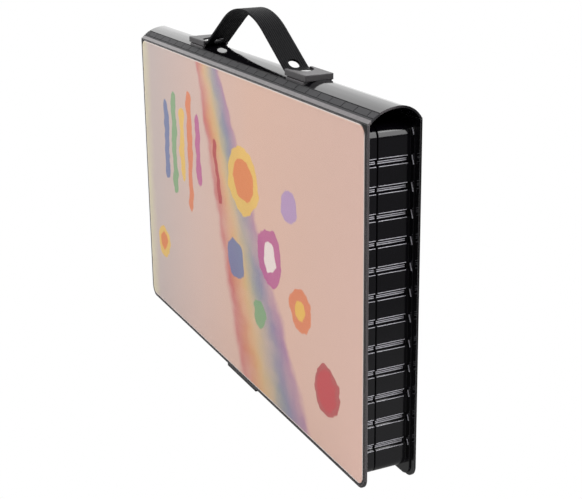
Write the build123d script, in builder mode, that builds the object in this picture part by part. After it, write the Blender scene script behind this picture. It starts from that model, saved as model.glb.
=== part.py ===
# Kids art set case: a folded sheet cover with two vacuum-formed trays, a strap
# handle on its spine, a swinging clasp, and the drawing tools that fill it.
#
# The case stands upright on its clasp. X runs along the case, Y through its
# thickness with the printed front at -Y, and Z is up. The origin is at the
# middle of the underside. All lengths are in millimetres.
from build123d import *
import math
import os
from dataclasses import dataclass

os.makedirs("parts", exist_ok=True)

# Cover sheet
case_length = 400.0
case_depth = 37.1
crease_height = 237.4
sheet = 1.4
cover_corner = 9.0
clasp_drop = 4.6

# Arched spine
arch_rise = 9.5
arch_apex_y = 3.3
lip_run = 3.1
lip_rise = 3.0
band_run = 5.0
band_rise = 3.4
crown_run = 8.9
crown_fall = 2.5
shoulder_fall = 0.8
outline_leg = 8.0
crease_gap = 0.2
cell_pitch = 16.0
cell_groove = 0.7
groove_depth = 0.5
band_margin = 0.5

# Printed card in its clear pocket
film_proud = 0.5
film_over_card = 0.2
film_end_margin = 0.8
film_bottom_margin = 0.5
film_top_margin = 0.3
card_inset = 2.2
card_top_inset = 0.6
card_corner = 7.0

# Trays
end_overhang = 9.0
bottom_overhang = 4.6
top_overhang = 3.9
tray_corner = 8.0
tray_wall = 1.0
tray_gap = 0.6
flange_width = 4.5
flange_top_width = 1.3
flange_thickness = 1.0
deck_edge_radius = 0.5
flute_count = 12
flute_pitch = 17.0
flute_centre_drop = 1.05
flute_mouth = 5.2
flute_floor = 2.4
flute_depth = 2.0
flute_radius = 0.6
basin_side_margin = 6.0
basin_top_margin = 7.5
basin_gap = 5.0
column_gap = 20.0

# Strap handle
handle_y = 0.3
strap_width = 18.0
strap_thickness = 1.8
strap_rise = 35.0
strap_crown_radius = 65.0
strap_slope = 33.0
strap_bend_radius = 8.0
strap_tail = 24.0
window_width = 8.0
window_length = 9.0
window_rise = 3.0
tail_window_width = 11.0
tail_window_length = 9.0
tail_window_inset = 10.5
block_length = 31.0
block_width = 21.0
block_floor = 0.6
block_roof = 1.0
block_edge_radius = 0.5
strap_clearance = 0.1
block_seat_gap = 0.1
notch_depth = 16.5
notch_half_width = 8.5
block_skirt = 0.8
foot_inset = 2.5
foot_width = 14.0
saddle_thickness = 1.5
backing_length = 29.0
backing_width = 15.0
backing_thickness = 1.6
screw_radius = 1.5
screw_head_radius = 3.0
screw_head_height = 1.2
screw_spacing = 6.5
screw_end_margin = 19.5
screw_clearance = 0.1

# Clasp
clasp_length = 54.0
clasp_plate = 2.0
clasp_lip = 1.6
clasp_side_clearance = 0.5
clasp_radius = 2.5
clasp_pin_radius = 1.0
clasp_pin_clearance = 0.05
clasp_pin_inset = 4.4
clasp_pin_height = 3.0
clasp_end_knuckle = 10.0
clasp_middle_knuckle = 12.0
clasp_knuckle_gap = 0.3
clasp_swing_gap = 0.6
clasp_mount_thickness = 1.5
clasp_mount_height = 3.8
clasp_catch_height = 1.8
clasp_catch_reach = 2.0
clasp_catch_lip = 1.0
clasp_bite_gap = 0.3
clasp_edge_radius = 0.4
clasp_tongue = 1.6
clasp_tongue_root = 1.0
clasp_mount_gap = 0.4
flange_notch_margin = 3.0

# Drawing tools
seat_gap = 0.1
slot_margin = 0.6
pocket_play = 0.3
end_play = 1.0
pocket_divider = 0.9
pen_count = 24
pen_radius = 4.3
pen_length = 118.0
pen_cap_length = 40.0
pen_plug_length = 4.0
pen_neck_length = 12.0
pen_cap_wall = 0.8
pen_cap_end = 2.4
pen_barrel_inset = 0.2
pen_plug_inset = 0.6
nib_length = 7.0
nib_radius = 1.2
nib_tip_radius = 0.6
pencil_radius = 3.6
pencil_length = 176.0
pencil_tip_length = 18.0
pencil_lead_radius = 1.0
pencil_lead_tip = 0.3
pencil_bare_lead = 3.0
pencil_wood_edge = 0.1
crayon_radius = 4.0
crayon_length = 88.0
crayon_tip_length = 10.0
crayon_shoulder_radius = 3.2
crayon_tip_radius = 1.5
pastel_radius = 4.4
pastel_length = 62.0
wrapper_thickness = 0.2
wrapper_share = 0.7
palette_length = 200.0
palette_height = 76.0
palette_thickness = 8.0
palette_wall = 1.6
palette_corner = 6.0
cake_columns = 6
cake_rows = 2
cake_radius = 12.0
cake_thickness = 4.0
cake_pitch = 32.0
ruler_length = 155.0
ruler_height = 26.0
ruler_thickness = 2.0
brush_length = 172.0
brush_radius = 3.2
brush_tail_radius = 1.6
ferrule_length = 22.0
ferrule_radius = 3.0
ferrule_tip_radius = 2.4
hair_length = 14.0
hair_radius = 2.2
hair_tip_radius = 0.5
glue_radius = 9.5
glue_length = 88.0
glue_cap_length = 26.0
glue_cap_inset = 0.3
eraser_length = 44.0
eraser_height = 18.0
eraser_thickness = 11.0
eraser_sleeve_length = 28.0
eraser_sleeve_thickness = 0.3
sharpener_length = 25.0
sharpener_height = 15.0
sharpener_thickness = 10.0
sharpener_mouth_radius = 3.3
sharpener_throat_radius = 1.1
sharpener_screw_radius = 2.0
blade_thickness = 0.8
blade_height = 7.5
blade_margin = 1.5
clip_count = 5
clip_length = 19.0
clip_height = 14.0
clip_depth = 9.0
clip_plate = 0.8
clip_pitch = 18.0
cut_past = 1.0

# Places that follow from the driving dimensions
front_y = -(case_depth + film_proud) / 2 + film_proud
back_y = front_y + case_depth
front_inner_y = front_y + sheet
back_inner_y = back_y - sheet
bottom_z = clasp_drop
crease_z = bottom_z + crease_height
apex_z = crease_z + arch_rise
half_length = case_length / 2
thickest_radius = max(pencil_radius, crayon_radius, pastel_radius)
front_tray_depth = 2 * thickest_radius + slot_margin + tray_wall
back_tray_depth = back_inner_y - front_inner_y - front_tray_depth - tray_gap
tray_bottom_z = bottom_z + bottom_overhang
tray_top_z = crease_z - top_overhang
tray_half_length = half_length - end_overhang
tray_middle_z = (tray_bottom_z + tray_top_z) / 2


@dataclass
class Tray:
    """A tray welded to one cover: inward is the way from its deck to its cover."""

    deck_y: float
    inward: int
    depth: float

    def at(self, depth):
        return self.deck_y + self.inward * depth


front_tray_place = Tray(front_inner_y + front_tray_depth, -1, front_tray_depth)
back_tray_place = Tray(front_tray_place.deck_y + tray_gap, 1, back_tray_depth)


def slot_width(radius):
    return 2 * (radius + pocket_play)


def row_pitch(radius):
    return slot_width(radius) + pocket_divider


def row_width(count, radius):
    """The width of a row's basin, walls and all."""
    return count * row_pitch(radius) - pocket_divider + 2 * tray_wall


@dataclass
class Row:
    """Like pieces side by side, each in a slot of its own. left and top are the
    corner of the row's basin, measured along the case and up from the cover's edge."""

    tray: Tray
    count: int
    radius: float
    length: float
    left: float
    top: float
    upright: bool = True

    @property
    def slot_width(self):
        return slot_width(self.radius)

    @property
    def slot_length(self):
        return self.length + 2 * end_play

    @property
    def slot_depth(self):
        return 2 * self.radius + slot_margin

    @property
    def size(self):
        across = row_width(self.count, self.radius)
        along = self.slot_length + 2 * tray_wall
        return (across, along) if self.upright else (along, across)

    @property
    def right(self):
        return self.left + self.size[0]

    @property
    def bottom(self):
        return self.top - self.size[1]

    @property
    def axis_y(self):
        return self.tray.at(self.slot_depth - self.radius - seat_gap)

    def centres(self):
        for index in range(self.count):
            across = tray_wall + self.slot_width / 2 + index * row_pitch(self.radius)
            along = tray_wall + self.slot_length / 2
            if self.upright:
                yield self.left + across, self.top - along
            else:
                yield self.left + along, self.top - across

    def places(self):
        turn = (0, 0, 0) if self.upright else (0, 90, 0)
        return [
            Location((u, self.axis_y, bottom_z + v), turn) for u, v in self.centres()
        ]

    def carve(self):
        """Adds the row's basin to a tray, then cuts its slots."""
        slot = (self.slot_width, self.slot_length)
        if not self.upright:
            slot = slot[::-1]
        floor = self.slot_depth
        middle = (self.left + self.size[0] / 2, self.top - self.size[1] / 2)
        tray_box(self.tray, [middle], self.size, 0, floor + tray_wall, Mode.ADD)
        tray_box(self.tray, self.centres(), slot, -cut_past, floor, Mode.SUBTRACT)


@dataclass
class Pocket:
    """A plain basin for one thing of that length, height and thickness. left and top
    are the corner of the basin, as in a row."""

    tray: Tray
    left: float
    top: float
    length: float
    height: float
    thickness: float

    @property
    def inner(self):
        return (self.length + 2 * pocket_play, self.height + 2 * pocket_play)

    @property
    def outer(self):
        return (self.inner[0] + 2 * tray_wall, self.inner[1] + 2 * tray_wall)

    @property
    def depth(self):
        return self.thickness + slot_margin

    @property
    def middle(self):
        return (self.left + self.outer[0] / 2, self.top - self.outer[1] / 2)

    @property
    def right(self):
        return self.left + self.outer[0]

    @property
    def bottom(self):
        return self.top - self.outer[1]

    def carve(self):
        floor = self.depth + tray_wall
        tray_box(self.tray, [self.middle], self.outer, 0, floor, Mode.ADD)
        tray_box(
            self.tray, [self.middle], self.inner, -cut_past, self.depth, Mode.SUBTRACT
        )

    def point(self, du=0.0, dv=0.0, height=0.0):
        """A point above the basin's floor, height towards the deck."""
        u, v = self.middle
        y = self.tray.at(self.depth - height - seat_gap)
        return (u + du, y, bottom_z + v + dv)


def tray_box(tray, middles, size, start, stop, mode):
    """Like boxes in a tray, from one depth under the deck to another."""
    depth = (tray.at(start) + tray.at(stop)) / 2
    with Locations(*[(u, depth, bottom_z + v) for u, v in middles]):
        Box(size[0], stop - start, size[1], mode=mode)


def along(places, offset):
    """The same places, moved along each piece's own axis."""
    return [place * Location((0, 0, offset)) for place in places]


def save(builder, name):
    builder.part.label = name
    export_step(builder.part, f"parts/{name}.step")


# What lies in each tray, set out from the tray's top corners
basin_left = basin_side_margin - tray_half_length
basin_top = tray_top_z - bottom_z - basin_top_margin

# The front tray holds as many pencils, pastels and crayons as lie side by side in
# it, the same number of each
stick_radii = (pencil_radius, pastel_radius, crayon_radius)
free_length = -2 * basin_left - 2 * basin_gap - 3 * (2 * tray_wall - pocket_divider)
stick_count = int(free_length / sum(row_pitch(radius) for radius in stick_radii))
crayons_left = -basin_left - row_width(stick_count, crayon_radius)


def front_row(count, radius, length, left, top=basin_top, upright=True):
    return Row(front_tray_place, count, radius, length, left, top, upright)


def back_pocket(left, top, length, height, thickness):
    return Pocket(back_tray_place, left, top, length, height, thickness)


pencils = front_row(stick_count, pencil_radius, pencil_length, basin_left)
crayons = front_row(stick_count, crayon_radius, crayon_length, crayons_left)
free_middle = (pencils.right + crayons.left) / 2
pastels_left = free_middle - row_width(stick_count, pastel_radius) / 2
pastels = front_row(stick_count, pastel_radius, pastel_length, pastels_left)
lower_left = pencils.right + basin_gap
lower_top = min(crayons.bottom, pastels.bottom) - basin_gap
ruler_pocket = Pocket(
    front_tray_place, lower_left, lower_top, ruler_length, ruler_height, ruler_thickness
)
brush_top = ruler_pocket.bottom - basin_gap
brushes = front_row(1, brush_radius, brush_length, lower_left, brush_top, False)
graphite_top = brushes.bottom - basin_gap
graphite = front_row(1, pencil_radius, pencil_length, lower_left, graphite_top, False)

pens = Row(back_tray_place, pen_count, pen_radius, pen_length, basin_left, basin_top)
palette_pocket = back_pocket(
    basin_left, pens.bottom - basin_gap, palette_length, palette_height, palette_thickness
)
glue_pocket = back_pocket(
    pens.right + column_gap, basin_top, 2 * glue_radius, glue_length, 2 * glue_radius
)
clip_pocket = back_pocket(
    glue_pocket.right + column_gap, basin_top, clip_length, clip_count * clip_pitch, clip_depth
)
eraser_pocket = back_pocket(
    palette_pocket.right + column_gap,
    palette_pocket.top,
    eraser_length,
    eraser_height + 2 * eraser_sleeve_thickness,
    eraser_thickness + 2 * eraser_sleeve_thickness,
)
sharpener_pocket = back_pocket(
    eraser_pocket.left,
    eraser_pocket.bottom - basin_gap,
    sharpener_length,
    sharpener_height,
    sharpener_thickness,
)
front_layout = [pencils, pastels, crayons, brushes, graphite, ruler_pocket]
back_layout = [
    pens,
    palette_pocket,
    glue_pocket,
    eraser_pocket,
    sharpener_pocket,
    clip_pocket,
]


# Covers: flat panels cut from one sheet, square at the crease, round at the foot
def cover_panel(middle_y):
    height = crease_height - crease_gap / 2
    with BuildPart() as panel:
        with Locations((0, middle_y, bottom_z + height / 2)):
            Box(case_length, sheet, height)
        fillet(panel.edges().filter_by(Axis.Y).group_by(Axis.Z)[0], cover_corner)
    return panel


front_cover = cover_panel(front_y + sheet / 2)
save(front_cover, "front_cover")

back_cover = cover_panel(back_y - sheet / 2)
save(back_cover, "back_cover")


# Spine: a sloping lip at the front crease, a flatter band with a row of cells, then
# two arcs over the top
band_foot_y = front_y + lip_run
band_foot_z = crease_z + lip_rise
band_top_y = band_foot_y + band_run
band_top_z = band_foot_z + band_rise
band_middle_y = (band_top_y + arch_apex_y) / 2
band_middle_z = apex_z - shoulder_fall
crown_y = arch_apex_y + crown_run
crown_z = apex_z - crown_fall


def arch_outline(inset=0.0):
    """The closed outline of the arch on the end plane, with legs below the crease."""
    with BuildLine() as outline:
        lip = Line((front_y, crease_z), (band_foot_y, band_foot_z))
        band = Line(lip @ 1, (band_top_y, band_top_z))
        rise = ThreePointArc(band @ 1, (band_middle_y, band_middle_z), (arch_apex_y, apex_z))
        fall = ThreePointArc(rise @ 1, (crown_y, crown_z), (back_y, crease_z))
        Polyline(
            fall @ 1,
            (back_y, crease_z - outline_leg),
            (front_y, crease_z - outline_leg),
            lip @ 0,
        )
    make_face(outline.edges())
    if inset:
        offset(amount=-inset, mode=Mode.REPLACE)


band_length = (band_run**2 + band_rise**2) ** 0.5
band_plane = Plane(
    origin=(0, (band_foot_y + band_top_y) / 2, (band_foot_z + band_top_z) / 2),
    x_dir=(1, 0, 0),
    z_dir=(0, -band_rise, band_run),
)
cell_count = int(case_length / cell_pitch)

# Strap handle: a centre line of straight tails, bends, legs and a round crown
slope = math.radians(strap_slope)
block_bottom_z = apex_z + block_seat_gap
slot_height = strap_thickness + 2 * strap_clearance
block_height = block_floor + slot_height + block_roof
strap_z = block_bottom_z + block_floor + slot_height / 2
crown_top_z = apex_z + strap_rise
leg_top_x = strap_crown_radius * math.sin(slope)
leg_top_z = crown_top_z - strap_crown_radius * (1 - math.cos(slope))
leg_foot_z = strap_z + strap_bend_radius * (1 - math.cos(slope))
leg_foot_x = leg_top_x + (leg_top_z - leg_foot_z) / math.tan(slope)
block_inner_x = leg_foot_x + strap_bend_radius * math.sin(slope)
screw_places = [
    (side * (block_inner_x + screw_end_margin + step * screw_spacing), handle_y)
    for side in (-1, 1)
    for step in (0, 1)
]


def screw_holes(low_z, high_z):
    middle = (low_z + high_z) / 2
    with Locations(*[(x, y, middle) for x, y in screw_places]):
        Cylinder(screw_radius + screw_clearance, high_z - low_z, mode=Mode.SUBTRACT)


with BuildPart() as spine:
    with BuildSketch(Plane.YZ):
        arch_outline()
        offset(amount=-sheet, mode=Mode.SUBTRACT)
        with Locations((0, crease_z + crease_gap / 2 - outline_leg)):
            Rectangle(2 * case_depth, 2 * outline_leg, mode=Mode.SUBTRACT)
    extrude(amount=half_length, both=True)
    with BuildSketch(band_plane):
        with GridLocations(cell_pitch, 1, cell_count, 1):
            Rectangle(cell_groove, band_length - 2 * band_margin)
        with GridLocations(1, band_length - 2 * band_margin, 1, 2):
            Rectangle(case_length, cell_groove)
    extrude(amount=-groove_depth, mode=Mode.SUBTRACT)
    screw_holes(crease_z, apex_z + cut_past)
save(spine, "spine")

with BuildPart() as handle_strap:
    with BuildSketch(Plane.XZ.offset(-handle_y)):
        with BuildLine():
            tail = Line((block_inner_x + strap_tail, strap_z), (block_inner_x, strap_z))
            bend = JernArc(tail @ 1, tail % 1, strap_bend_radius, -strap_slope)
            rise = Line(bend @ 1, (leg_top_x, leg_top_z))
            crown = JernArc(rise @ 1, rise % 1, strap_crown_radius, 2 * strap_slope)
            fall = Line(crown @ 1, (-leg_foot_x, leg_foot_z))
            far_bend = JernArc(fall @ 1, fall % 1, strap_bend_radius, -strap_slope)
            Line(far_bend @ 1, (-block_inner_x - strap_tail, strap_z))
        trace(line_width=strap_thickness)
    extrude(amount=strap_width / 2, both=True)
    for side in (-1, 1):
        window_plane = Plane(
            origin=(
                side * (leg_foot_x - window_rise * math.cos(slope)),
                handle_y,
                leg_foot_z + window_rise * math.sin(slope),
            ),
            x_dir=(0, 1, 0),
            z_dir=(side * math.sin(slope), 0, math.cos(slope)),
        )
        with BuildSketch(window_plane):
            Ellipse(window_width / 2, window_length / 2)
        extrude(amount=strap_thickness, both=True, mode=Mode.SUBTRACT)
        with BuildSketch(Plane.XY.offset(strap_z)):
            with Locations((side * (block_inner_x + tail_window_inset), handle_y)):
                Ellipse(tail_window_length / 2, tail_window_width / 2)
        extrude(amount=strap_thickness, both=True, mode=Mode.SUBTRACT)
    screw_holes(strap_z - strap_thickness, strap_z + strap_thickness)
save(handle_strap, "handle_strap")


def handle_block(side):
    """An end block: a plate with a slot for the strap and a round notch right through
    its inner end, on a foot and a saddle that fit the arch."""
    middle_x = side * (block_inner_x + block_length / 2)
    slot_length = strap_tail + strap_clearance
    slot_x = side * (block_inner_x + slot_length / 2)
    roof_z = block_bottom_z + block_height
    plate_height = block_height + block_skirt
    foot_top = block_bottom_z + block_edge_radius
    with BuildPart() as block:
        with Locations((middle_x, handle_y, roof_z - plate_height / 2)):
            Box(block_length, block_width, plate_height)
        fillet(block.edges(), block_edge_radius)
        with Locations((middle_x, handle_y, (crease_z + foot_top) / 2)):
            Box(block_length - 2 * foot_inset, foot_width, foot_top - crease_z)
        with BuildSketch(Plane.YZ.offset(middle_x)):
            arch_outline(-saddle_thickness)
            with Locations((handle_y, apex_z)):
                Rectangle(block_width, 2 * arch_rise, mode=Mode.INTERSECT)
        extrude(amount=block_length / 2 - foot_inset, both=True)
        with BuildSketch(Plane.YZ):
            arch_outline()
        extrude(amount=half_length, both=True, mode=Mode.SUBTRACT)
        with Locations((slot_x, handle_y, strap_z)):
            Box(
                slot_length,
                strap_width + 2 * strap_clearance,
                slot_height,
                mode=Mode.SUBTRACT,
            )
        with BuildSketch(Plane.XY.offset(crease_z)):
            with Locations((side * block_inner_x, handle_y)):
                Ellipse(notch_depth, notch_half_width)
        extrude(amount=roof_z - crease_z + cut_past, mode=Mode.SUBTRACT)
        screw_holes(crease_z, roof_z - block_roof / 2)
    return block


handle_block_left = handle_block(-1)
save(handle_block_left, "handle_block_left")

handle_block_right = handle_block(1)
save(handle_block_right, "handle_block_right")

# Plates under the arch spread the pull of the screws
backing_bottom_z = apex_z - sheet - backing_thickness
with BuildPart() as handle_backing_plates:
    for side in (-1, 1):
        middle_x = side * (block_inner_x + block_length / 2)
        with Locations((middle_x, handle_y, backing_bottom_z + backing_thickness / 2)):
            Box(backing_length, backing_width, backing_thickness)
    with BuildSketch(Plane.YZ):
        arch_outline(sheet)
    extrude(amount=half_length, both=True, mode=Mode.INTERSECT)
    screw_holes(backing_bottom_z - cut_past, apex_z)
save(handle_backing_plates, "handle_backing_plates")

screw_top_z = block_bottom_z + block_height - block_roof / 2 - screw_clearance
with BuildPart() as handle_screws:
    shank = screw_top_z - backing_bottom_z
    with Locations(*[(x, y, backing_bottom_z + shank / 2) for x, y in screw_places]):
        Cylinder(screw_radius, shank)
    head_z = backing_bottom_z - screw_head_height / 2
    with Locations(*[(x, y, head_z) for x, y in screw_places]):
        Cylinder(screw_head_radius, screw_head_height)
save(handle_screws, "handle_screws")


# Printed card and the clear film welded round it, on the front cover
def card_outline(play=0.0):
    low = bottom_z + card_inset + film_bottom_margin - play
    high = crease_z - card_top_inset - film_top_margin + play
    half = half_length - film_end_margin - card_inset + play
    with Locations((0, (low + high) / 2)):
        RectangleRounded(2 * half, high - low, card_corner)


front_plane = Plane.XZ.offset(-front_y)
card_thickness = film_proud - film_over_card

with BuildPart() as print_card:
    with BuildSketch(front_plane):
        card_outline()
    extrude(amount=card_thickness)
save(print_card, "print_card")

with BuildPart() as pocket_film:
    film_low = bottom_z + film_bottom_margin
    film_high = crease_z - film_top_margin
    with BuildSketch(front_plane):
        with Locations((0, (film_low + film_high) / 2)):
            RectangleRounded(
                2 * (half_length - film_end_margin), film_high - film_low, card_corner
            )
    extrude(amount=film_proud)
    with BuildSketch(front_plane):
        card_outline(pocket_play)
    extrude(amount=card_thickness, mode=Mode.SUBTRACT)
save(pocket_film, "pocket_film")


# Trays: thin shells with fluted ends, a flange on the cover and basins in the deck
flute_side = (flute_mouth - flute_floor) / 2
flute_slant = math.hypot(flute_depth, flute_side)


def tray_outline(inset=0.0):
    half = tray_half_length - inset
    height = tray_top_z - tray_bottom_z - 2 * inset
    spread = inset * (flute_slant - flute_side) / flute_depth
    mouth = flute_mouth / 2 + spread
    floor = flute_floor / 2 + spread
    flare = cut_past * flute_side / flute_depth
    middle = tray_middle_z - flute_centre_drop
    first = middle - flute_pitch * (flute_count - 1) / 2
    with Locations((0, tray_middle_z)):
        RectangleRounded(2 * half, height, tray_corner - inset)
    for index in range(flute_count):
        z = first + index * flute_pitch
        for side in (-1, 1):
            past = side * (half + cut_past)
            bed = side * (half - flute_depth)
            with BuildLine() as flute:
                Polyline(
                    (past, z - mouth - flare),
                    (bed, z - floor),
                    (bed, z + floor),
                    (past, z + mouth + flare),
                    close=True,
                )
            make_face(flute.edges(), mode=Mode.SUBTRACT)


def flute_corners(outline):
    """The corners of the flutes, without those of the rounded rectangle."""
    reach = (flute_pitch * (flute_count - 1) + flute_mouth) / 2 + tray_wall
    middle = tray_middle_z - flute_centre_drop
    return [v for v in outline.vertices() if abs(v.Y - middle) < reach]


def tray_shell(place, layout):
    outward = -place.inward
    flange_low = tray_bottom_z - flange_width
    flange_high = tray_top_z + flange_top_width
    with BuildPart() as shell:
        with BuildSketch(Plane.XZ.offset(-place.deck_y)) as outside:
            tray_outline()
            fillet(flute_corners(outside), flute_radius)
        extrude(amount=outward * place.depth)
        deck = shell.faces().sort_by(Axis.Y)[-1 if place.inward < 0 else 0]
        fillet(deck.edges(), deck_edge_radius)
        with BuildSketch(Plane.XZ.offset(-place.at(place.depth))):
            with Locations((0, (flange_low + flange_high) / 2)):
                RectangleRounded(
                    2 * (tray_half_length + flange_width),
                    flange_high - flange_low,
                    tray_corner,
                )
            with Locations((0, flange_low)):
                Rectangle(
                    clasp_length + 2 * flange_notch_margin,
                    2 * flange_width,
                    mode=Mode.SUBTRACT,
                )
        extrude(amount=-outward * flange_thickness)
        with BuildSketch(Plane.XZ.offset(-place.at(tray_wall))) as inside:
            tray_outline(tray_wall)
            fillet(flute_corners(inside), flute_radius)
        extrude(amount=outward * (place.depth - tray_wall), mode=Mode.SUBTRACT)
        for basin in layout:
            basin.carve()
    return shell


front_tray = tray_shell(front_tray_place, front_layout)
save(front_tray, "front_tray")

back_tray = tray_shell(back_tray_place, back_layout)
save(back_tray, "back_tray")


# Watercolour pens: barrel with a neck, a felt nib, a cap over both, and an end plug
pen_places = pens.places()
pen_half = pen_length / 2
barrel_length = pen_length - pen_cap_length - pen_plug_length
barrel_top = pen_half - pen_cap_length
bore_radius = pen_radius - pen_cap_wall
bore_length = pen_cap_length - pen_cap_end

with BuildPart() as felt_pen_barrels:
    with Locations(*along(pen_places, barrel_top - barrel_length / 2)):
        Cylinder(pen_radius - pen_barrel_inset, barrel_length)
    with Locations(*along(pen_places, barrel_top + pen_neck_length / 2)):
        Cylinder(bore_radius - seat_gap, pen_neck_length)
save(felt_pen_barrels, "felt_pen_barrels")

with BuildPart() as felt_pen_nibs:
    nib_middle = barrel_top + pen_neck_length + nib_length / 2
    with Locations(*along(pen_places, nib_middle)):
        Cone(nib_radius, nib_tip_radius, nib_length)
save(felt_pen_nibs, "felt_pen_nibs")

with BuildPart() as felt_pen_caps:
    with Locations(*along(pen_places, pen_half - pen_cap_length / 2)):
        Cylinder(pen_radius, pen_cap_length)
    with Locations(*along(pen_places, barrel_top + bore_length / 2)):
        Cylinder(bore_radius, bore_length, mode=Mode.SUBTRACT)
save(felt_pen_caps, "felt_pen_caps")

with BuildPart() as felt_pen_plugs:
    with Locations(*along(pen_places, (pen_plug_length - pen_length) / 2)):
        Cylinder(pen_radius - pen_plug_inset, pen_plug_length)
save(felt_pen_plugs, "felt_pen_plugs")


# Pencils: a hexagonal shaft turned to a cone, round a lead that runs all through
def pencil_shaft(places):
    cut = pencil_length / 2 - pencil_tip_length
    cone_length = pencil_tip_length - pencil_bare_lead
    inscribed = pencil_radius * math.cos(math.pi / 6)
    with BuildPart() as shaft:
        with BuildSketch(*[Plane(place) for place in along(places, -pencil_length / 2)]):
            RegularPolygon(pencil_radius, 6)
        extrude(amount=pencil_length - pencil_tip_length)
        with Locations(*along(places, cut + cone_length / 2)):
            Cone(inscribed, pencil_lead_radius + pencil_wood_edge, cone_length)
        with Locations(*places):
            Cylinder(pencil_lead_radius, 2 * pencil_length, mode=Mode.SUBTRACT)
    return shaft


def pencil_lead(places):
    with BuildPart() as lead:
        with Locations(*along(places, -pencil_bare_lead / 2)):
            Cylinder(pencil_lead_radius, pencil_length - pencil_bare_lead)
        with Locations(*along(places, (pencil_length - pencil_bare_lead) / 2)):
            Cone(pencil_lead_radius, pencil_lead_tip, pencil_bare_lead)
    return lead


colour_pencils = pencil_shaft(pencils.places())
save(colour_pencils, "colour_pencils")
colour_pencil_leads = pencil_lead(pencils.places())
save(colour_pencil_leads, "colour_pencil_leads")
graphite_pencil = pencil_shaft(graphite.places())
save(graphite_pencil, "graphite_pencil")
graphite_pencil_lead = pencil_lead(graphite.places())
save(graphite_pencil_lead, "graphite_pencil_lead")


# Crayons and oil pastels: sticks in paper wrappers
def wrappers(row):
    with BuildPart() as sleeves:
        with Locations(*row.places()):
            Cylinder(row.radius, row.length * wrapper_share)
            Cylinder(row.radius - wrapper_thickness, row.length, mode=Mode.SUBTRACT)
    return sleeves


with BuildPart() as crayon_sticks:
    straight = crayon_length - crayon_tip_length
    with Locations(*along(crayons.places(), -crayon_tip_length / 2)):
        Cylinder(crayon_radius - wrapper_thickness, straight)
    with Locations(*along(crayons.places(), straight / 2)):
        Cone(crayon_shoulder_radius, crayon_tip_radius, crayon_tip_length)
save(crayon_sticks, "crayon_sticks")

crayon_wrappers = wrappers(crayons)
save(crayon_wrappers, "crayon_wrappers")

with BuildPart() as oil_pastel_sticks:
    with Locations(*pastels.places()):
        Cylinder(pastel_radius - wrapper_thickness, pastel_length)
save(oil_pastel_sticks, "oil_pastel_sticks")

oil_pastel_wrappers = wrappers(pastels)
save(oil_pastel_wrappers, "oil_pastel_wrappers")


# Brush: tapered handle, ferrule and hair
brush_places = brushes.places()
handle_length = brush_length - ferrule_length - hair_length

with BuildPart() as brush_handle:
    with Locations(*along(brush_places, (handle_length - brush_length) / 2)):
        Cone(brush_tail_radius, brush_radius, handle_length)
save(brush_handle, "brush_handle")

with BuildPart() as brush_ferrule:
    ferrule_middle = handle_length + ferrule_length / 2 - brush_length / 2
    with Locations(*along(brush_places, ferrule_middle)):
        Cone(ferrule_radius, ferrule_tip_radius, ferrule_length)
save(brush_ferrule, "brush_ferrule")

with BuildPart() as brush_hair:
    with Locations(*along(brush_places, (brush_length - hair_length) / 2)):
        Cone(hair_radius, hair_tip_radius, hair_length)
save(brush_hair, "brush_hair")


def slab(pocket, length, thickness, height, du=0.0, dv=0.0, lift=0.0, mode=Mode.ADD):
    """A flat piece lying on a pocket's floor."""
    with Locations(pocket.point(du, dv, lift + thickness / 2)):
        Box(length, thickness, height, mode=mode)


with BuildPart() as ruler:
    slab(ruler_pocket, ruler_length, ruler_thickness, ruler_height)
save(ruler, "ruler")

# Watercolour palette with its round cakes
well_depth = palette_thickness - palette_wall


def cake_places(height):
    """The wells' middles, that height above the palette's underside."""
    for column in range(cake_columns):
        for row in range(cake_rows):
            du = (column - (cake_columns - 1) / 2) * cake_pitch
            dv = (row - (cake_rows - 1) / 2) * cake_pitch
            yield Location(palette_pocket.point(du, dv, height), (90, 0, 0))


with BuildPart() as paint_palette:
    slab(palette_pocket, palette_length, palette_thickness, palette_height)
    fillet(paint_palette.edges().filter_by(Axis.Y), palette_corner)
    with Locations(*cake_places(palette_wall + well_depth / 2)):
        Cylinder(cake_radius + pocket_play, well_depth, mode=Mode.SUBTRACT)
save(paint_palette, "paint_palette")

with BuildPart() as paint_cakes:
    with Locations(*cake_places(palette_wall + cake_thickness / 2)):
        Cylinder(cake_radius, cake_thickness)
save(paint_cakes, "paint_cakes")

# Glue stick
with BuildPart() as glue_stick_body:
    with Locations(glue_pocket.point(0, -glue_cap_length / 2, glue_radius)):
        Cylinder(glue_radius, glue_length - glue_cap_length)
save(glue_stick_body, "glue_stick_body")

with BuildPart() as glue_stick_cap:
    with Locations(glue_pocket.point(0, (glue_length - glue_cap_length) / 2, glue_radius)):
        Cylinder(glue_radius - glue_cap_inset, glue_cap_length)
save(glue_stick_cap, "glue_stick_cap")

# Eraser in a card sleeve
with BuildPart() as eraser:
    slab(
        eraser_pocket,
        eraser_length,
        eraser_thickness,
        eraser_height,
        lift=eraser_sleeve_thickness,
    )
save(eraser, "eraser")

with BuildPart() as eraser_sleeve:
    slab(
        eraser_pocket,
        eraser_sleeve_length,
        eraser_thickness + 2 * eraser_sleeve_thickness,
        eraser_height + 2 * eraser_sleeve_thickness,
    )
    slab(
        eraser_pocket,
        eraser_length,
        eraser_thickness,
        eraser_height,
        lift=eraser_sleeve_thickness,
        mode=Mode.SUBTRACT,
    )
save(eraser_sleeve, "eraser_sleeve")

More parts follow.
